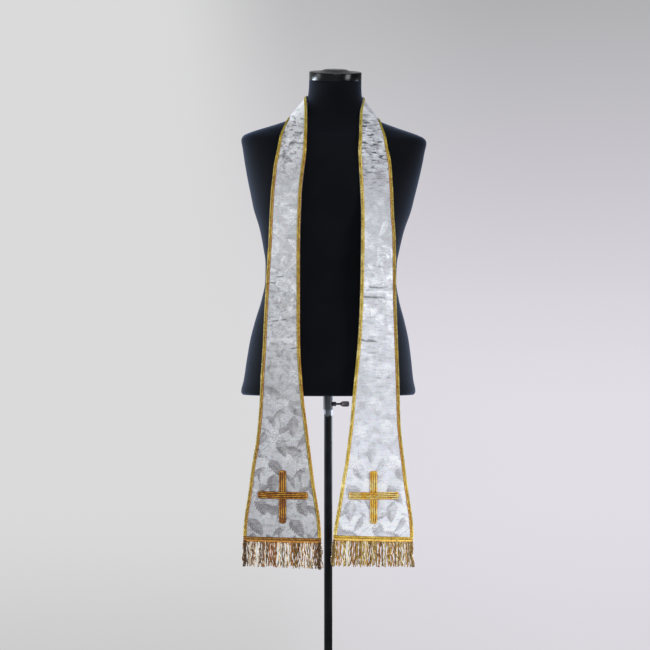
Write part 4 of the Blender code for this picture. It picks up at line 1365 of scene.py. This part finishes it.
def brocade(name, weave, contrast):
    """Satin with the figure woven in flat silver thread. The reverse has less contrast."""
    made, tree = new_finish(name)
    in_mm = scaled(new_node(tree, "UVMap"), 1000.0)
    patchy = noise(in_mm, 0.050, 3.0)
    leaves, flowers = woven_figure(in_mm, weave.start)

    # Painted reflection: where the threads are taken to be turned away from the light the leaves are
    # painted dark, else pale. The flowers are woven the other way and stay the paler of the two.
    painted_thread_lit = stored(tree, "painted_thread_light") + faded(patchy, 0.3, 0.7, -0.16, 0.16)
    leaf_colour = blend(faded(painted_thread_lit, 0.0, 1.0), FIGURE_PAINTED_SHADE, FIGURE_PAINTED_LIGHT)
    flower_colour = blend(faded(painted_thread_lit, -0.80, 0.50), FIGURE_PAINTED_SHADE, FIGURE_PAINTED_LIGHT)
    shown = stored(tree, "figure_share") * contrast
    ragged = faded(noise(in_mm, 0.050, 2.5), 0.38, 0.60, 0.30, 0.85)
    ragged = ragged.at_least(faded(painted_thread_lit, 0.8, 0.3)) * shown
    colour = blend(leaves * ragged, satin_ground(in_mm, patchy), leaf_colour)
    colour = blend(flowers * ragged * 0.80, colour, flower_colour)

    # Glints: painted highlights where single floats catch the light, most of them on the flowers;
    # they also make the cloth more metallic there. Grit: the unevenness of single threads.
    sparks = faded(stretched(in_mm, (0.19, 0.34, 1), 2.0), 0.53, 0.60)
    amount = faded(flowers.at_least(leaves * 0.25), 0.05, 0.6, 0.12, 1.0)
    glints = sparks * amount * faded(painted_thread_lit, 0.1, 0.9, 0.45, 1.0) * shown
    colour = blend(glints, colour, GLINT)
    gritty = stretched(in_mm, (0.26, 0.44, 1), 3.0)
    colour = scaled(colour, faded(gritty, 0.32, 0.68, 1.0 - weave.grit, 1.0 + weave.grit))

    # Crumples: short marks of painted shade and painted highlight that run across the cloth, and
    # painted shade in the creases' troughs and painted highlights on their ridges.
    x, _, z = parts_of(object_spot(tree))
    marks = stretched(scaled(flat_spot(x, z), 1000.0), weave.mark_scale, 3.0)
    crumpled = stored(tree, "crumple")
    uneven = stretched(in_mm, (0.05, 0.12, 1), 3.0)
    fold = stored(tree, "fold") * faded(uneven, 0.35, 0.62, 0.25, 1.15)
    dark = (faded(marks, 0.54, 0.62) * crumpled).at_least(faded(fold, -0.35, -1.3))
    bright = (faded(marks, 0.44, 0.30) * crumpled).at_least(faded(fold, 0.45, 1.2))
    colour = blend(dark * (0.75 * contrast), colour, PAINTED_FOLD_SHADE)
    colour = blend(bright * (0.55 * contrast), colour, PAINTED_FOLD_HIGHLIGHT)
    # Painted light and shade down each half, then a painted tint of the light; no colour goes above the
    # whitest.
    colour = scaled(colour, stored(tree, "painted_cloth_light"))
    colour = vectors("MINIMUM", vectors("MULTIPLY", colour, weave.cast), WHITEST)

    figure = leaves.at_least(flowers)
    silvery = (figure * 0.5).at_least(glints)
    floats = stretched(in_mm, (0.30, 1.60, 1), 1.0)
    relief = floats * 0.12 + figure * 0.35 + marks * (crumpled * 1.9 + 0.15)
    inputs = {
        "Base Color": colour,
        "Metallic": silvery * (0.35 * contrast),
        "Roughness": faded(silvery, 0.1, 0.8, 0.52, 0.40),
    }
    return shaded(made, inputs, (0.5, 0.0008, relief))


def set_values(made, name, values):
    """Stores a number for each point of a piece, for its material to read."""
    attribute = made.data.attributes.new(name, "FLOAT", "POINT")
    attribute.data.foreach_set("value", np.array(values, np.float32).ravel())


# The values that the brocade's material reads, and the columns of TONES that they come from
LOOKS = {"painted_thread_light": "turn", "painted_cloth_light": "tone", "figure_share": "figure", "crumple": "marks"}
cloths = {}
for half in HALVES:
    cloth = cloths[half.side] = Cloth(half)
    points, down = cloth.points, cloth.down[:, None]
    across = half.hand * np.linspace(-0.5, 0.5, CELLS_ACROSS + 1) * cloth.widths[:, None]
    flat = np.stack(np.broadcast_arrays(across, -down), axis=2)
    looks = {"fold": cloth.folds}
    for name, column in LOOKS.items():
        values = [getattr(row, f"{half.side}_{column}") for row in TONES]
        at_row = np.interp(down, [row.down for row in TONES], values)
        looks[name] = np.broadcast_to(at_row, across.shape)
    if half.hand > 0:
        points, flat = points[:, ::-1], flat[:, ::-1]
        looks = {name: values[:, ::-1] for name, values in looks.items()}
    panel = shaped_grid(f"brocade_{half.side}", points, flat)
    for name, values in looks.items():
        set_values(panel, name, values)
    bpy.ops.object.shade_smooth()
    face = brocade(f"brocade_{half.side}", WEAVES[half.side], 1.0)
    reverse = brocade(f"brocade_reverse_{half.side}", WEAVES[half.side], REVERSE_CONTRAST)
    finish_with(panel, face, reverse)
    wall = panel.modifiers.new("wall", "SOLIDIFY")
    wall.thickness = CLOTH_THICKNESS
    wall.offset = -1
    wall.material_offset = 1
    bpy.ops.object.modifier_apply(modifier="wall")
    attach(panel, "form")
    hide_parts(f"stole_panel_{half.side}")

# ---------------------------------------------------------------------------------------
# The braids: flat braids of gilt thread, each plaited round two soft cords that show as
# ridges. A narrow one is sewn on the face of the cloth along each of its long edges, and a
# wider one across each hem.
BRAID_WIDTH = 0.008
HEM_BRAID_WIDTH = 0.012
HEM_GAP = 0.0003  # between the edge braids' ends and the hem's braid
BRAID_WALL = 0.0012
BRAID_EDGE = 0.00035  # its thickness at its sides
BRAID_SINK = 0.0001  # how far its underside is pressed into the cloth
BRAID_STEP = 0.0009
BRAID_COLUMNS = 16
RIDGE_ROUNDNESS = 0.7  # at 1 a sine wave, and the lower the fuller
PLAIT_STEP = 0.0036
PLAIT_RISE = 0.16  # how much the plait raises a ridge, as a share of its height
PLAIT_SWAY = 0.00016  # how far it moves a ridge sideways
# How a braid wanders sideways: how far, in radians to a metre, and by how much of its phase
BRAID_WANDER = [(0.00012, 190, 1), (0.0001, 67, 2)]
OLIVE_GOLD = (0.410, 0.300, 0.028)
ORANGE_GOLD = (0.540, 0.235, 0.016)
YELLOW_GOLD = (0.730, 0.490, 0.055)
# Dark thread, which also serves as painted shade beside a braid's ridges:
DARK_THREAD_AND_SHADE = (0.075, 0.035, 0.008)
# Pale gold, which also serves as painted glints on a braid's ridges:
PALE_GOLD_AND_GLINT = (0.960, 0.790, 0.290)
# A painted lime-yellow reflection on the edge braids at the neck, fading down the stole:
PAINTED_LIME_GOLD = (0.560, 0.530, 0.050)
LIME_MOST = 0.6  # the share of lime at the neck
LIME_FADES = (0.17, 0.30)  # down from the neck seam, from that to none
HEM_TONE = 1.1
HEM_SHINE = 0.4
HEM_COLOURS = {
    "left": ((0.600, 0.240, 0.035), (0.240, 0.085, 0.001), (0.520, 0.200, 0.006)),
    "right": ((1.000, 0.600, 0.115), (0.600, 0.370, 0.018), (1.000, 0.680, 0.120)),
}
# first, second: the ridges' colours, the first at the edge of the cloth, and patch: the
# colour that both drift to
Trim = namedtuple("Trim", "side edge first second patch")
TRIMS = [
    Trim("left", "outer", OLIVE_GOLD, ORANGE_GOLD, YELLOW_GOLD),
    Trim("left", "inner", ORANGE_GOLD, OLIVE_GOLD, YELLOW_GOLD),
    Trim("right", "inner", OLIVE_GOLD, YELLOW_GOLD, PALE_GOLD_AND_GLINT),
    Trim("right", "outer", OLIVE_GOLD, ORANGE_GOLD, YELLOW_GOLD),
]
# How bright the edge braids are down the stole: painted light and shade
BraidPaintedLight = namedtuple("BraidPaintedLight", "down left_outer left_inner right_inner right_outer")
BRAID_PAINTED_LIGHT = [
    BraidPaintedLight(0.00, 1.00, 1.30, 1.30, 1.00),
    BraidPaintedLight(0.18, 1.25, 1.30, 1.20, 1.25),
    BraidPaintedLight(0.32, 0.92, 0.95, 1.05, 0.95),
    BraidPaintedLight(0.55, 0.84, 0.90, 1.05, 0.66),
    BraidPaintedLight(0.75, 0.80, 0.95, 1.10, 0.80),
    BraidPaintedLight(1.00, 0.80, 1.10, 1.25, 1.30),
    BraidPaintedLight(1.15, 0.80, 1.00, 1.20, 1.30),
]


def swept(name, rings, flat):
    """A closed piece from rings of points: each ring meets itself, and both ends close."""
    rings = np.concatenate([rings, rings[:, :1]], axis=1)
    flat = np.concatenate([flat, flat[:, :1]], axis=1)
    ends = [np.broadcast_to(ring.mean(axis=0), ring.shape) for ring in (rings[0], rings[-1])]
    rings = np.concatenate([ends[0][None], rings, ends[1][None]])
    return weld(shaped_grid(name, rings, np.concatenate([flat[:1], flat, flat[-1:]])))


def braid_profile(width):
    """Its section: places across it, heights over the cloth, and how far each place moves
    with the plait, which is all of it on the ridges and none at the underside."""
    share = np.linspace(0, 1, BRAID_COLUMNS + 1)
    ridges = np.abs(np.sin(2 * pi * share)) ** RIDGE_ROUNDNESS
    top = BRAID_EDGE + (BRAID_WALL - BRAID_EDGE) * ridges
    side = np.concatenate([share, [1.0, 0.5, 0.0]]) * width
    height = np.concatenate([top, np.full(3, -BRAID_SINK)])
    moves = np.concatenate([ridges, np.zeros(3)])
    return side, height, moves


def places_along(made):
    """How far along the piece each of its points lies, from its UV map."""
    mesh = made.data
    corners = np.empty(len(mesh.loops), np.int32)
    mesh.loops.foreach_get("vertex_index", corners)
    flat = np.empty(2 * len(mesh.loops), np.float32)
    mesh.uv_layers[0].data.foreach_get("uv", flat)
    places = np.empty(len(mesh.vertices), np.float32)
    places[corners] = flat[1::2]
    return places


def new_braid(name, length, width, phase, place, tones, finish):
    """A braid along a line, its two ridges plaited in turn. place(along, side, height) gives
    its points. tones: places along it, and how bright it is at each, which on the edge braids is
    painted light and shade."""
    along = np.linspace(0, length, int(length / BRAID_STEP))
    side, height, moves = braid_profile(width)
    turn = 2 * pi * along[:, None] / PLAIT_STEP + phase + np.where(side < width / 2, 0, pi)
    wander = sum(reach * np.sin(along * rate + late * phase) for reach, rate, late in BRAID_WANDER)
    height = height * (1 + PLAIT_RISE * moves * np.sin(turn))
    side = side + moves * (PLAIT_SWAY * np.cos(turn) + wander[:, None])
    flat = np.stack(np.broadcast_arrays(side, along[:, None]), axis=2)
    made = swept(name, place(along[:, None], side, height), flat)
    set_values(made, "gilt_tone_and_painted_light", np.interp(places_along(made), *tones))
    finish_with(made, finish)
    return made


def braid_gold(name, width, first, second, patch, shine=0.75):
    """Gilt thread plaited in a chevron over each ridge, with dark gaps between the threads and where
    the gilt is worn, painted shade beside the ridges and between them, painted glints along the
    ridges, and a painted lime-yellow reflection near the neck."""
    made, tree = new_finish(name)
    flat = new_node(tree, "UVMap")
    side, along, _ = parts_of(flat)
    side = side / width
    drift = noise(flat, 34.0, 4.0)
    colour = blend(faded(side, 0.42, 0.58), first, second)
    colour = blend(faded(drift, 0.44, 0.66, 0.0, 0.8), colour, patch)
    # A painted lime-yellow reflection near the neck.
    colour = blend(stored(tree, "painted_lime_share"), colour, PAINTED_LIME_GOLD)
    to_ridge = side.maths("PINGPONG", 0.25)
    threads = (to_ridge * 6.5 + along * 900.0).maths("PINGPONG", 1.0)
    colour = blend(faded(threads, 0.6, 0.0, 0.0, 0.45), colour, DARK_THREAD_AND_SHADE)
    # Painted glints along the ridges.
    glint = faded(noise(flat, 300.0, 3.0), 0.45, 0.62) * faded(to_ridge, 0.10, 0.23)
    colour = blend(glint * shine, colour, PALE_GOLD_AND_GLINT)
    # Painted shade beside the ridges and between them.
    colour = blend(faded(to_ridge, 0.075, 0.0, 0.0, 0.75), colour, DARK_THREAD_AND_SHADE)
    worn = noise(flat, 190.0, 3.0)
    colour = blend(faded(worn, 0.50, 0.34, 0.0, 0.5), colour, DARK_THREAD_AND_SHADE)
    colour = scaled(colour, stored(tree, "gilt_tone_and_painted_light"))
    inputs = {"Base Color": colour, "Roughness": 0.36, "Metallic": 0.40}
    return shaded(made, inputs, (0.8, 0.0004, threads))


trims = {"left": [], "right": []}
for phase, trim in enumerate(TRIMS):
    cloth = cloths[trim.side]
    name = f"edging_{trim.edge}_{trim.side}"
    length = cloth.down[-1] - HEM_BRAID_WIDTH - HEM_GAP

    def beside_edge(down, side, height):
        across = side if trim.edge == "inner" else cloth.width(down) - side
        return cloth.at(down, across, height)

    tones = [getattr(row, f"{trim.side}_{trim.edge}") for row in BRAID_PAINTED_LIGHT]
    tones = ([row.down for row in BRAID_PAINTED_LIGHT], tones)
    finish = braid_gold(name, BRAID_WIDTH, trim.first, trim.second, trim.patch)
    braid = new_braid(name, length, BRAID_WIDTH, phase, beside_edge, tones, finish)
    set_values(braid, "painted_lime_share", np.interp(places_along(braid), LIME_FADES, (LIME_MOST, 0.0)))
    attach(braid, "form")
    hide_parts(f"{trim.edge}_braid_{trim.side}")
    trims[trim.side].append(braid)

for phase, (side, cloth) in enumerate(cloths.items()):
    name = f"hem_edging_{side}"
    hem_down = cloth.down[-1]
    hem_width = float(cloth.width(hem_down))

    def over_hem(across, rise, height):
        return cloth.at(hem_down - rise, across, height)

    tones = ((0, hem_width), (HEM_TONE, HEM_TONE))
    finish = braid_gold(name, HEM_BRAID_WIDTH, *HEM_COLOURS[side], HEM_SHINE)
    braid = new_braid(name, hem_width, HEM_BRAID_WIDTH, phase, over_hem, tones, finish)
    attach(braid, "form")
    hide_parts(f"hem_braid_{side}")
    trims[side].append(braid)

# ---------------------------------------------------------------------------------------
# The crosses: each arm is two thick gilt cords folded back on themselves, one round the
# other, and couched side by side on the cloth. The bar lies over the upright.
CORD_RADIUS = 0.00208
CORD_FLATNESS = 0.72
CORD_SINK = 0.9  # the share of its height at which a cord's middle rides over the cloth
CORD_STEP = 0.0007
CORD_SIDES = 12
CORD_TWIST = 0.01
CORD_MEAN = 0.95  # its radius between the plies' ridges and grooves, as a share of the whole
CORD_RIBS = 0.06  # how far they rise and sink from that, in the same measure
SQUAREST = 0.45  # the power that shapes an end with no reach; a half circle has 1
OUTER_PHASE = 2.1  # by which the outer cord's plies are turned against the inner cord's
ARM_HALF_WIDTH = 4 * CORD_RADIUS
CROSSING_LIFT = 0.0017
CROSSING_SLOPE = 3.5 * CORD_RADIUS  # the length in which the bar comes down to the cloth
# side: from the pole; top, foot, bar_height: from the form's lower cut; bar_drop: how much
# lower the bar's right end lies than its middle
Cross = namedtuple("Cross", "side top foot bar_height bar_drop bar_half")
CROSSES = {
    "left": Cross(0.1017, -0.1652, -0.2830, -0.2200, 0.0011, 0.0552),
    "right": Cross(0.1010, -0.1666, -0.2839, -0.2212, 0.0000, 0.0551),
}
# dark, middle: the gilt's own colours; bright: a painted highlight; groove: painted shade
Gilt = namedtuple("Gilt", "dark middle bright groove")
CORD_COLOURS = {
    "left": Gilt((0.18, 0.043, 0.002), (0.39, 0.115, 0.002), (0.85, 0.43, 0.038), (0.035, 0.01, 0.002)),
    "right": Gilt((1, 0.44, 0.008), (1, 0.64, 0.026), (1, 0.95, 0.42), (0.24, 0.045, 0.002)),
}
# How far an arm's two ends reach past its cords' straight runs, as shares of each cord's
# distance from the arm's middle
REACHES = {"upright": (0.9, 0.40), "bar": (0.5, 0.45)}


def hairpin(start, end, offset, start_reach, end_reach):
    """A closed loop round the line from start to end, offset to each side of it. Its ends
    reach that share of the offset along the line: at 1 they are half circles, and the
    shorter they are, the squarer."""

    def rounded(share, reach):
        turn, power = pi * share, SQUAREST + (1 - SQUAREST) * reach
        across = copysign(abs(cos(turn)) ** power, cos(turn))
        return reach * offset * max(0, sin(turn)) ** power, offset * across

    run, bend = end - start, pi * offset
    spots = []
    whole = 2 * (run + bend)
    for place in np.linspace(0, whole, int(whole / CORD_STEP), endpoint=False):
        back = place - run - bend
        if place < run:
            spots.append((start + place, offset))
        elif back < 0:
            out, aside = rounded((place - run) / bend, end_reach)
            spots.append((end + out, aside))
        elif back < run:
            spots.append((end - back, -offset))
        else:
            out, aside = rounded((back - run) / bend, start_reach)
            spots.append((start - out, -aside))
    return spots


def cord_loop(name, centres, above, phase):
    """A twisted cord round a closed loop: two fat plies that show as slanting ribs."""
    ways = unit(np.roll(centres, -1, axis=0) - np.roll(centres, 1, axis=0))
    beside = unit(np.cross(ways, above))
    above = np.cross(beside, ways)
    along = length_to(np.concatenate([centres, centres[:1]]))
    full_turn = 2 * pi * round(along[-1] / CORD_TWIST)
    twist = full_turn * along / along[-1]
    angle = np.linspace(0, 2 * pi, CORD_SIDES + 1)
    ribs = CORD_RIBS * np.cos(2 * angle - twist[:-1, None] + phase)
    radius = CORD_RADIUS * (CORD_MEAN + ribs)[:, :, None]
    round_it = beside[:, None] * np.cos(angle)[:, None] * radius
    over_it = above[:, None] * np.sin(angle)[:, None] * radius * CORD_FLATNESS
    rings = centres[:, None] + round_it + over_it
    twisted_along = (twist - phase) * CORD_TWIST / (2 * pi)
    flat = np.stack(np.broadcast_arrays(angle * CORD_RADIUS, twisted_along[:, None]), axis=2)
    return weld(shaped_grid(name, np.concatenate([rings, rings[:1]]), flat))


def cord_gold(name, dark, middle, bright, groove):
    """Fine gilt threads laid along each ply, with a painted highlight in patches along the cord's top,
    and painted shade down its sides and in the grooves between the plies. The outer cords are darker."""
    made, tree = new_finish(name)
    flat = new_node(tree, "UVMap")
    round_it, along, _ = parts_of(flat)
    threads = (round_it * -900.0 + along * 1500.0).maths("PINGPONG", 1.0)
    drift = noise(flat, 90.0, 4.0)
    patch = noise(object_spot(tree), 55.0, 2.0)
    colour = blend(faded(drift, 0.38, 0.58), dark, middle)
    colour = blend(stored(tree, "outer_cord") * 0.5, colour, dark)
    turn = round_it / CORD_RADIUS
    over = turn.maths("SINE")
    ply = (turn * 2.0 + along * (-2 * pi / CORD_TWIST)).maths("COSINE")
    # A painted highlight along the top of each cord, broken into patches.
    painted_highlight = faded(patch, 0.42, 0.58, 0.10, 1.0) * faded(ply, -0.9, 0.3, 0.88, 1.0)
    colour = blend(painted_highlight * faded(over, 0.84, 0.97), colour, bright)
    # Painted shade in the grooves between the plies.
    colour = blend(faded(ply, -0.45, -0.95, 0.0, 0.12), colour, groove)
    colour = blend(faded(threads, 0.6, 0.0, 0.0, 0.30), colour, DARK_THREAD_AND_SHADE)
    # Painted shade down the cords' sides and between them.
    painted_side_shade = faded(over, 0.97, 0.66) * faded(drift, 0.60, 0.42, 0.35, 1.0)
    colour = blend(painted_side_shade, colour, groove)
    inputs = {"Base Color": colour, "Roughness": 0.40, "Metallic": 0.20}
    return shaded(made, inputs, (0.7, 0.0003, threads))


for half in HALVES:
    cross = CROSSES[half.side]
    face = surface_of(cloths[half.side].points)
    gilt = cord_gold(f"cross_cord_{half.side}", *CORD_COLOURS[half.side])
    middle_x, middle_z = half.hand * cross.side, FORM_BASE.z + cross.bar_height
    ends = {
        "upright": (FORM_BASE.z + cross.foot, FORM_BASE.z + cross.top),
        "bar": (-cross.bar_half, cross.bar_half),
    }
    for arm, (start, end) in ends.items():
        start_reach, end_reach = REACHES[arm]
        start_in = start + start_reach * ARM_HALF_WIDTH
        end_in = end - end_reach * ARM_HALF_WIDTH
        loops = []
        for place, offset in enumerate((CORD_RADIUS, 3 * CORD_RADIUS)):
            centres, normals = [], []
            for along, off in hairpin(start_in, end_in, offset, start_reach, end_reach):
                x, z, lift = middle_x + off, along, 0
                if arm == "bar":
                    x, z = middle_x + along, middle_z + off - cross.bar_drop * along / end
                    beyond = max(0, abs(along) - ARM_HALF_WIDTH) / CROSSING_SLOPE
                    over = 1 - min(1, beyond)
                    lift = CROSSING_LIFT * over * over * (3 - 2 * over)
                spot, normal, _, _ = face.ray_cast(Vector((x, -1, z)), Vector((0, 1, 0)))
                normal *= -copysign(1, normal.y)
                centres.append(spot + normal * (CORD_RADIUS * CORD_FLATNESS * CORD_SINK + lift))
                normals.append(normal)
            phase = OUTER_PHASE * place
            loop = cord_loop(f"{arm}_loop", np.array(centres), np.array(normals), phase)
            set_values(loop, "outer_cord", np.full(len(loop.data.vertices), place))
            finish_with(loop, gilt)
            loops.append(loop)
        made = joined(f"couched_{arm}_{half.side}", loops)
        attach(made, "form")
        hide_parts(f"cross_{arm}_{half.side}")
        trims[half.side].append(made)

# ---------------------------------------------------------------------------------------
# The fringes: cords of gilt and silk thread, two plies twisted together, that hang from a
# tape behind the hem, no two quite alike, with a thick bullion cord of three at each end.
STRANDS = 82
STRAND_START = 0.004  # above the hem's lower edge, behind the cloth
STRAND_STEP = 0.0011
STRAND_PLY = 0.00069
STRAND_TWIST = 0.026
BULLION_PLY = 0.00185
BULLION_TWIST = 0.017
BULLION_SHARES = (0.017, 0.985)  # across the hem, from its inner edge
PLY_SWELL = 1.12  # a ply is that much thicker than its distance from the cord's middle
LEAN_POWER = 1.3  # a strand leans more and more, the further down
WAVE_ANGLE = 11  # of the wave from a strand's top to its tip, in radians
MOVED_BY = 0.2  # the share of its length by which a strand is its whole way forward or back
TOP_TAPER = 0.02  # shares of its length in which a ply comes to a point
TIP_TAPER = 0.035
# How unlike one another the strands are: from and to, or the spread of a bell curve
PLY_SIZES = (0.85, 1.3)
TWISTS = (0.9, 1.15)
SHORTER_BY = (-0.001, 0.006)
LEAN_SPREAD = 0.0012
BOW_SPREAD = 0.0012
WAVES = (0.0007, 0.0021)
FORWARD = (-0.0028, 0.0028)
FIRST_SHADES = (0.35, 1.45)
SHADES = (0.45, 1.4)
Tip = namedtuple("Tip", "inner outer inner_height outer_height")
FRINGE_TIPS = {
    "left": Tip(0.0156, 0.1918, -0.3860, -0.3795),
    "right": Tip(0.0085, 0.1900, -0.3792, -0.3816),
}
STRAND_COLOURS = {
    "left": [
        (0.17, 0.055, 0.012),
        (0.42, 0.18, 0.040),
        (0.30, 0.19, 0.10),
        (0.95, 0.70, 0.42),
        (0.28, 0.18, 0.030),
        (0.50, 0.36, 0.22),
        (0.44, 0.14, 0.020),
        (1.0, 0.90, 0.74),
    ],
    "right": [
        (0.30, 0.12, 0.012),
        (0.62, 0.36, 0.055),
        (0.41, 0.29, 0.12),
        (1.0, 0.76, 0.34),
        (0.45, 0.30, 0.022),
        (0.58, 0.42, 0.19),
        (0.52, 0.21, 0.014),
        (1.0, 0.94, 0.68),
    ],
}
BULLION_COLOURS = {"left": (0.190, 0.085, 0.022), "right": (0.300, 0.180, 0.060)}
BULLION_BOWS = {"left": 0.0005, "right": -0.0025}  # of the inner bullion cord, to the right
# Painted highlight and painted shade, in small patches on the fringe's threads:
FRINGE_PAINTED_HIGHLIGHT = (0.86, 0.74, 0.50)
FRINGE_PAINTED_SHADE = (0.10, 0.055, 0.020)


def fringe_thread(name):
    """Gilt thread wound on silk, in the colour stored for each ply, with small patches of painted
    highlight and painted shade."""
    made, tree = new_finish(name)
    patch = noise(object_spot(tree), 260.0, 3.0)
    colour = stored(tree, "strand_colour", "Color")
    # Painted highlights, then painted shade, in small patches.
    colour = blend(faded(patch, 0.55, 0.75, 0.0, 0.6), colour, FRINGE_PAINTED_HIGHLIGHT)
    colour = blend(faded(patch, 0.45, 0.30, 0.0, 0.6), colour, FRINGE_PAINTED_SHADE)
    inputs = {"Base Color": colour, "Roughness": 0.40, "Metallic": 0.35}
    return shaded(made, inputs, (0.3, 0.0003, patch))


def add_ply(curve, path, radii):
    """One ply of a strand, drawn out to a point at both ends."""
    spline = curve.splines.new("POLY")
    spline.points.add(len(path) - 1)
    spline.points.foreach_set("co", np.insert(path, 3, 1, axis=1).ravel())
    spline.points.foreach_set("radius", radii)


chance = random.Random(7)
for half in HALVES:
    cloth, tips = cloths[half.side], FRINGE_TIPS[half.side]
    hem_down, hem_width = cloth.down[-1], float(cloth.width(cloth.down[-1]))
    curve = bpy.data.curves.new(f"fringe_cords_{half.side}", "CURVE")
    curve.dimensions = "3D"
    curve.bevel_depth = 1.0
    curve.bevel_resolution = 1
    counts, colours = [], []
    for strand in range(-1, STRANDS + 1):
        bullion = strand in (-1, STRANDS)
        if bullion:
            share, plies, ply, twist = BULLION_SHARES[strand > 0], 3, BULLION_PLY, BULLION_TWIST
        else:
            share, plies, twist = (strand + 0.5) / STRANDS, 2, STRAND_TWIST
            ply = STRAND_PLY * chance.uniform(*PLY_SIZES)
        twist *= chance.uniform(*TWISTS)
        top = cloth.at(hem_down - STRAND_START, share * hem_width, -CLOTH_THICKNESS / 2)
        tip_x = half.hand * (tips.inner + (tips.outer - tips.inner) * share)
        tip_z = tips.inner_height + (tips.outer_height - tips.inner_height) * share
        length = top[2] - FORM_BASE.z - tip_z - chance.uniform(*SHORTER_BY) * (not bullion)
        count = int(length / STRAND_STEP)
        t = np.linspace(0, 1, count)
        lean = tip_x - top[0] + chance.gauss(0, LEAN_SPREAD)
        bow = chance.gauss(0, BOW_SPREAD)
        if strand < 0:
            bow = BULLION_BOWS[half.side]
        wave, phase = chance.uniform(*WAVES), chance.uniform(0, 6.3)
        waving = wave * (np.sin(WAVE_ANGLE * t + phase) - sin(phase)) * np.sqrt(t)
        x = top[0] + lean * t**LEAN_POWER + bow * np.sin(pi * t) + waving
        moved = np.sin(pi / 2 * np.minimum(1, t / MOVED_BY))
        y = top[1] + chance.uniform(*FORWARD) * moved
        z = top[2] - length * t
        spin = 2 * pi * t * length / twist + chance.uniform(0, 6.3)
        tone, shade = chance.choice(STRAND_COLOURS[half.side]), chance.uniform(*FIRST_SHADES)
        if bullion:
            tone = BULLION_COLOURS[half.side]
        ends = np.clip(np.minimum(t / TOP_TAPER, (1 - t) / TIP_TAPER), 0, 1) ** 0.5
        for index in range(plies):
            angle = spin + 2 * pi * index / plies
            path = np.stack([x + ply * np.cos(angle), y + ply * np.sin(angle), z], axis=1)
            add_ply(curve, path, PLY_SWELL * ply * ends)
            counts.append(count)
            colours.append((*(shade * channel for channel in tone), 1.0))
            if not bullion:
                tone, shade = chance.choice(STRAND_COLOURS[half.side]), chance.uniform(*SHADES)
    made = bpy.data.objects.new(curve.name, curve)
    bpy.context.collection.objects.link(made)
    deselect()
    made.select_set(True)
    bpy.context.view_layer.objects.active = made
    bpy.ops.object.convert(target="MESH")
    made = bpy.context.object
    sides = len(made.data.vertices) // sum(counts)
    per_point = np.repeat(np.array(colours, np.float32), np.array(counts) * sides, axis=0)
    attribute = made.data.attributes.new("strand_colour", "FLOAT_COLOR", "POINT")
    attribute.data.foreach_set("color", per_point.ravel())
    weld(made)
    finish_with(made, fringe_thread(made.name))
    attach(made, "form")
    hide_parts(f"fringe_{half.side}")
    trims[half.side].append(made)

# ---------------------------------------------------------------------------------------
# Each half was cut as one flat piece, narrow at the neck seam and widest at the hem, and
# carries its braids, its cross and its fringe.
for side, cloth in cloths.items():
    cut_area = float((cloth.widths[1:] + cloth.widths[:-1]) @ np.diff(cloth.down) / 2)
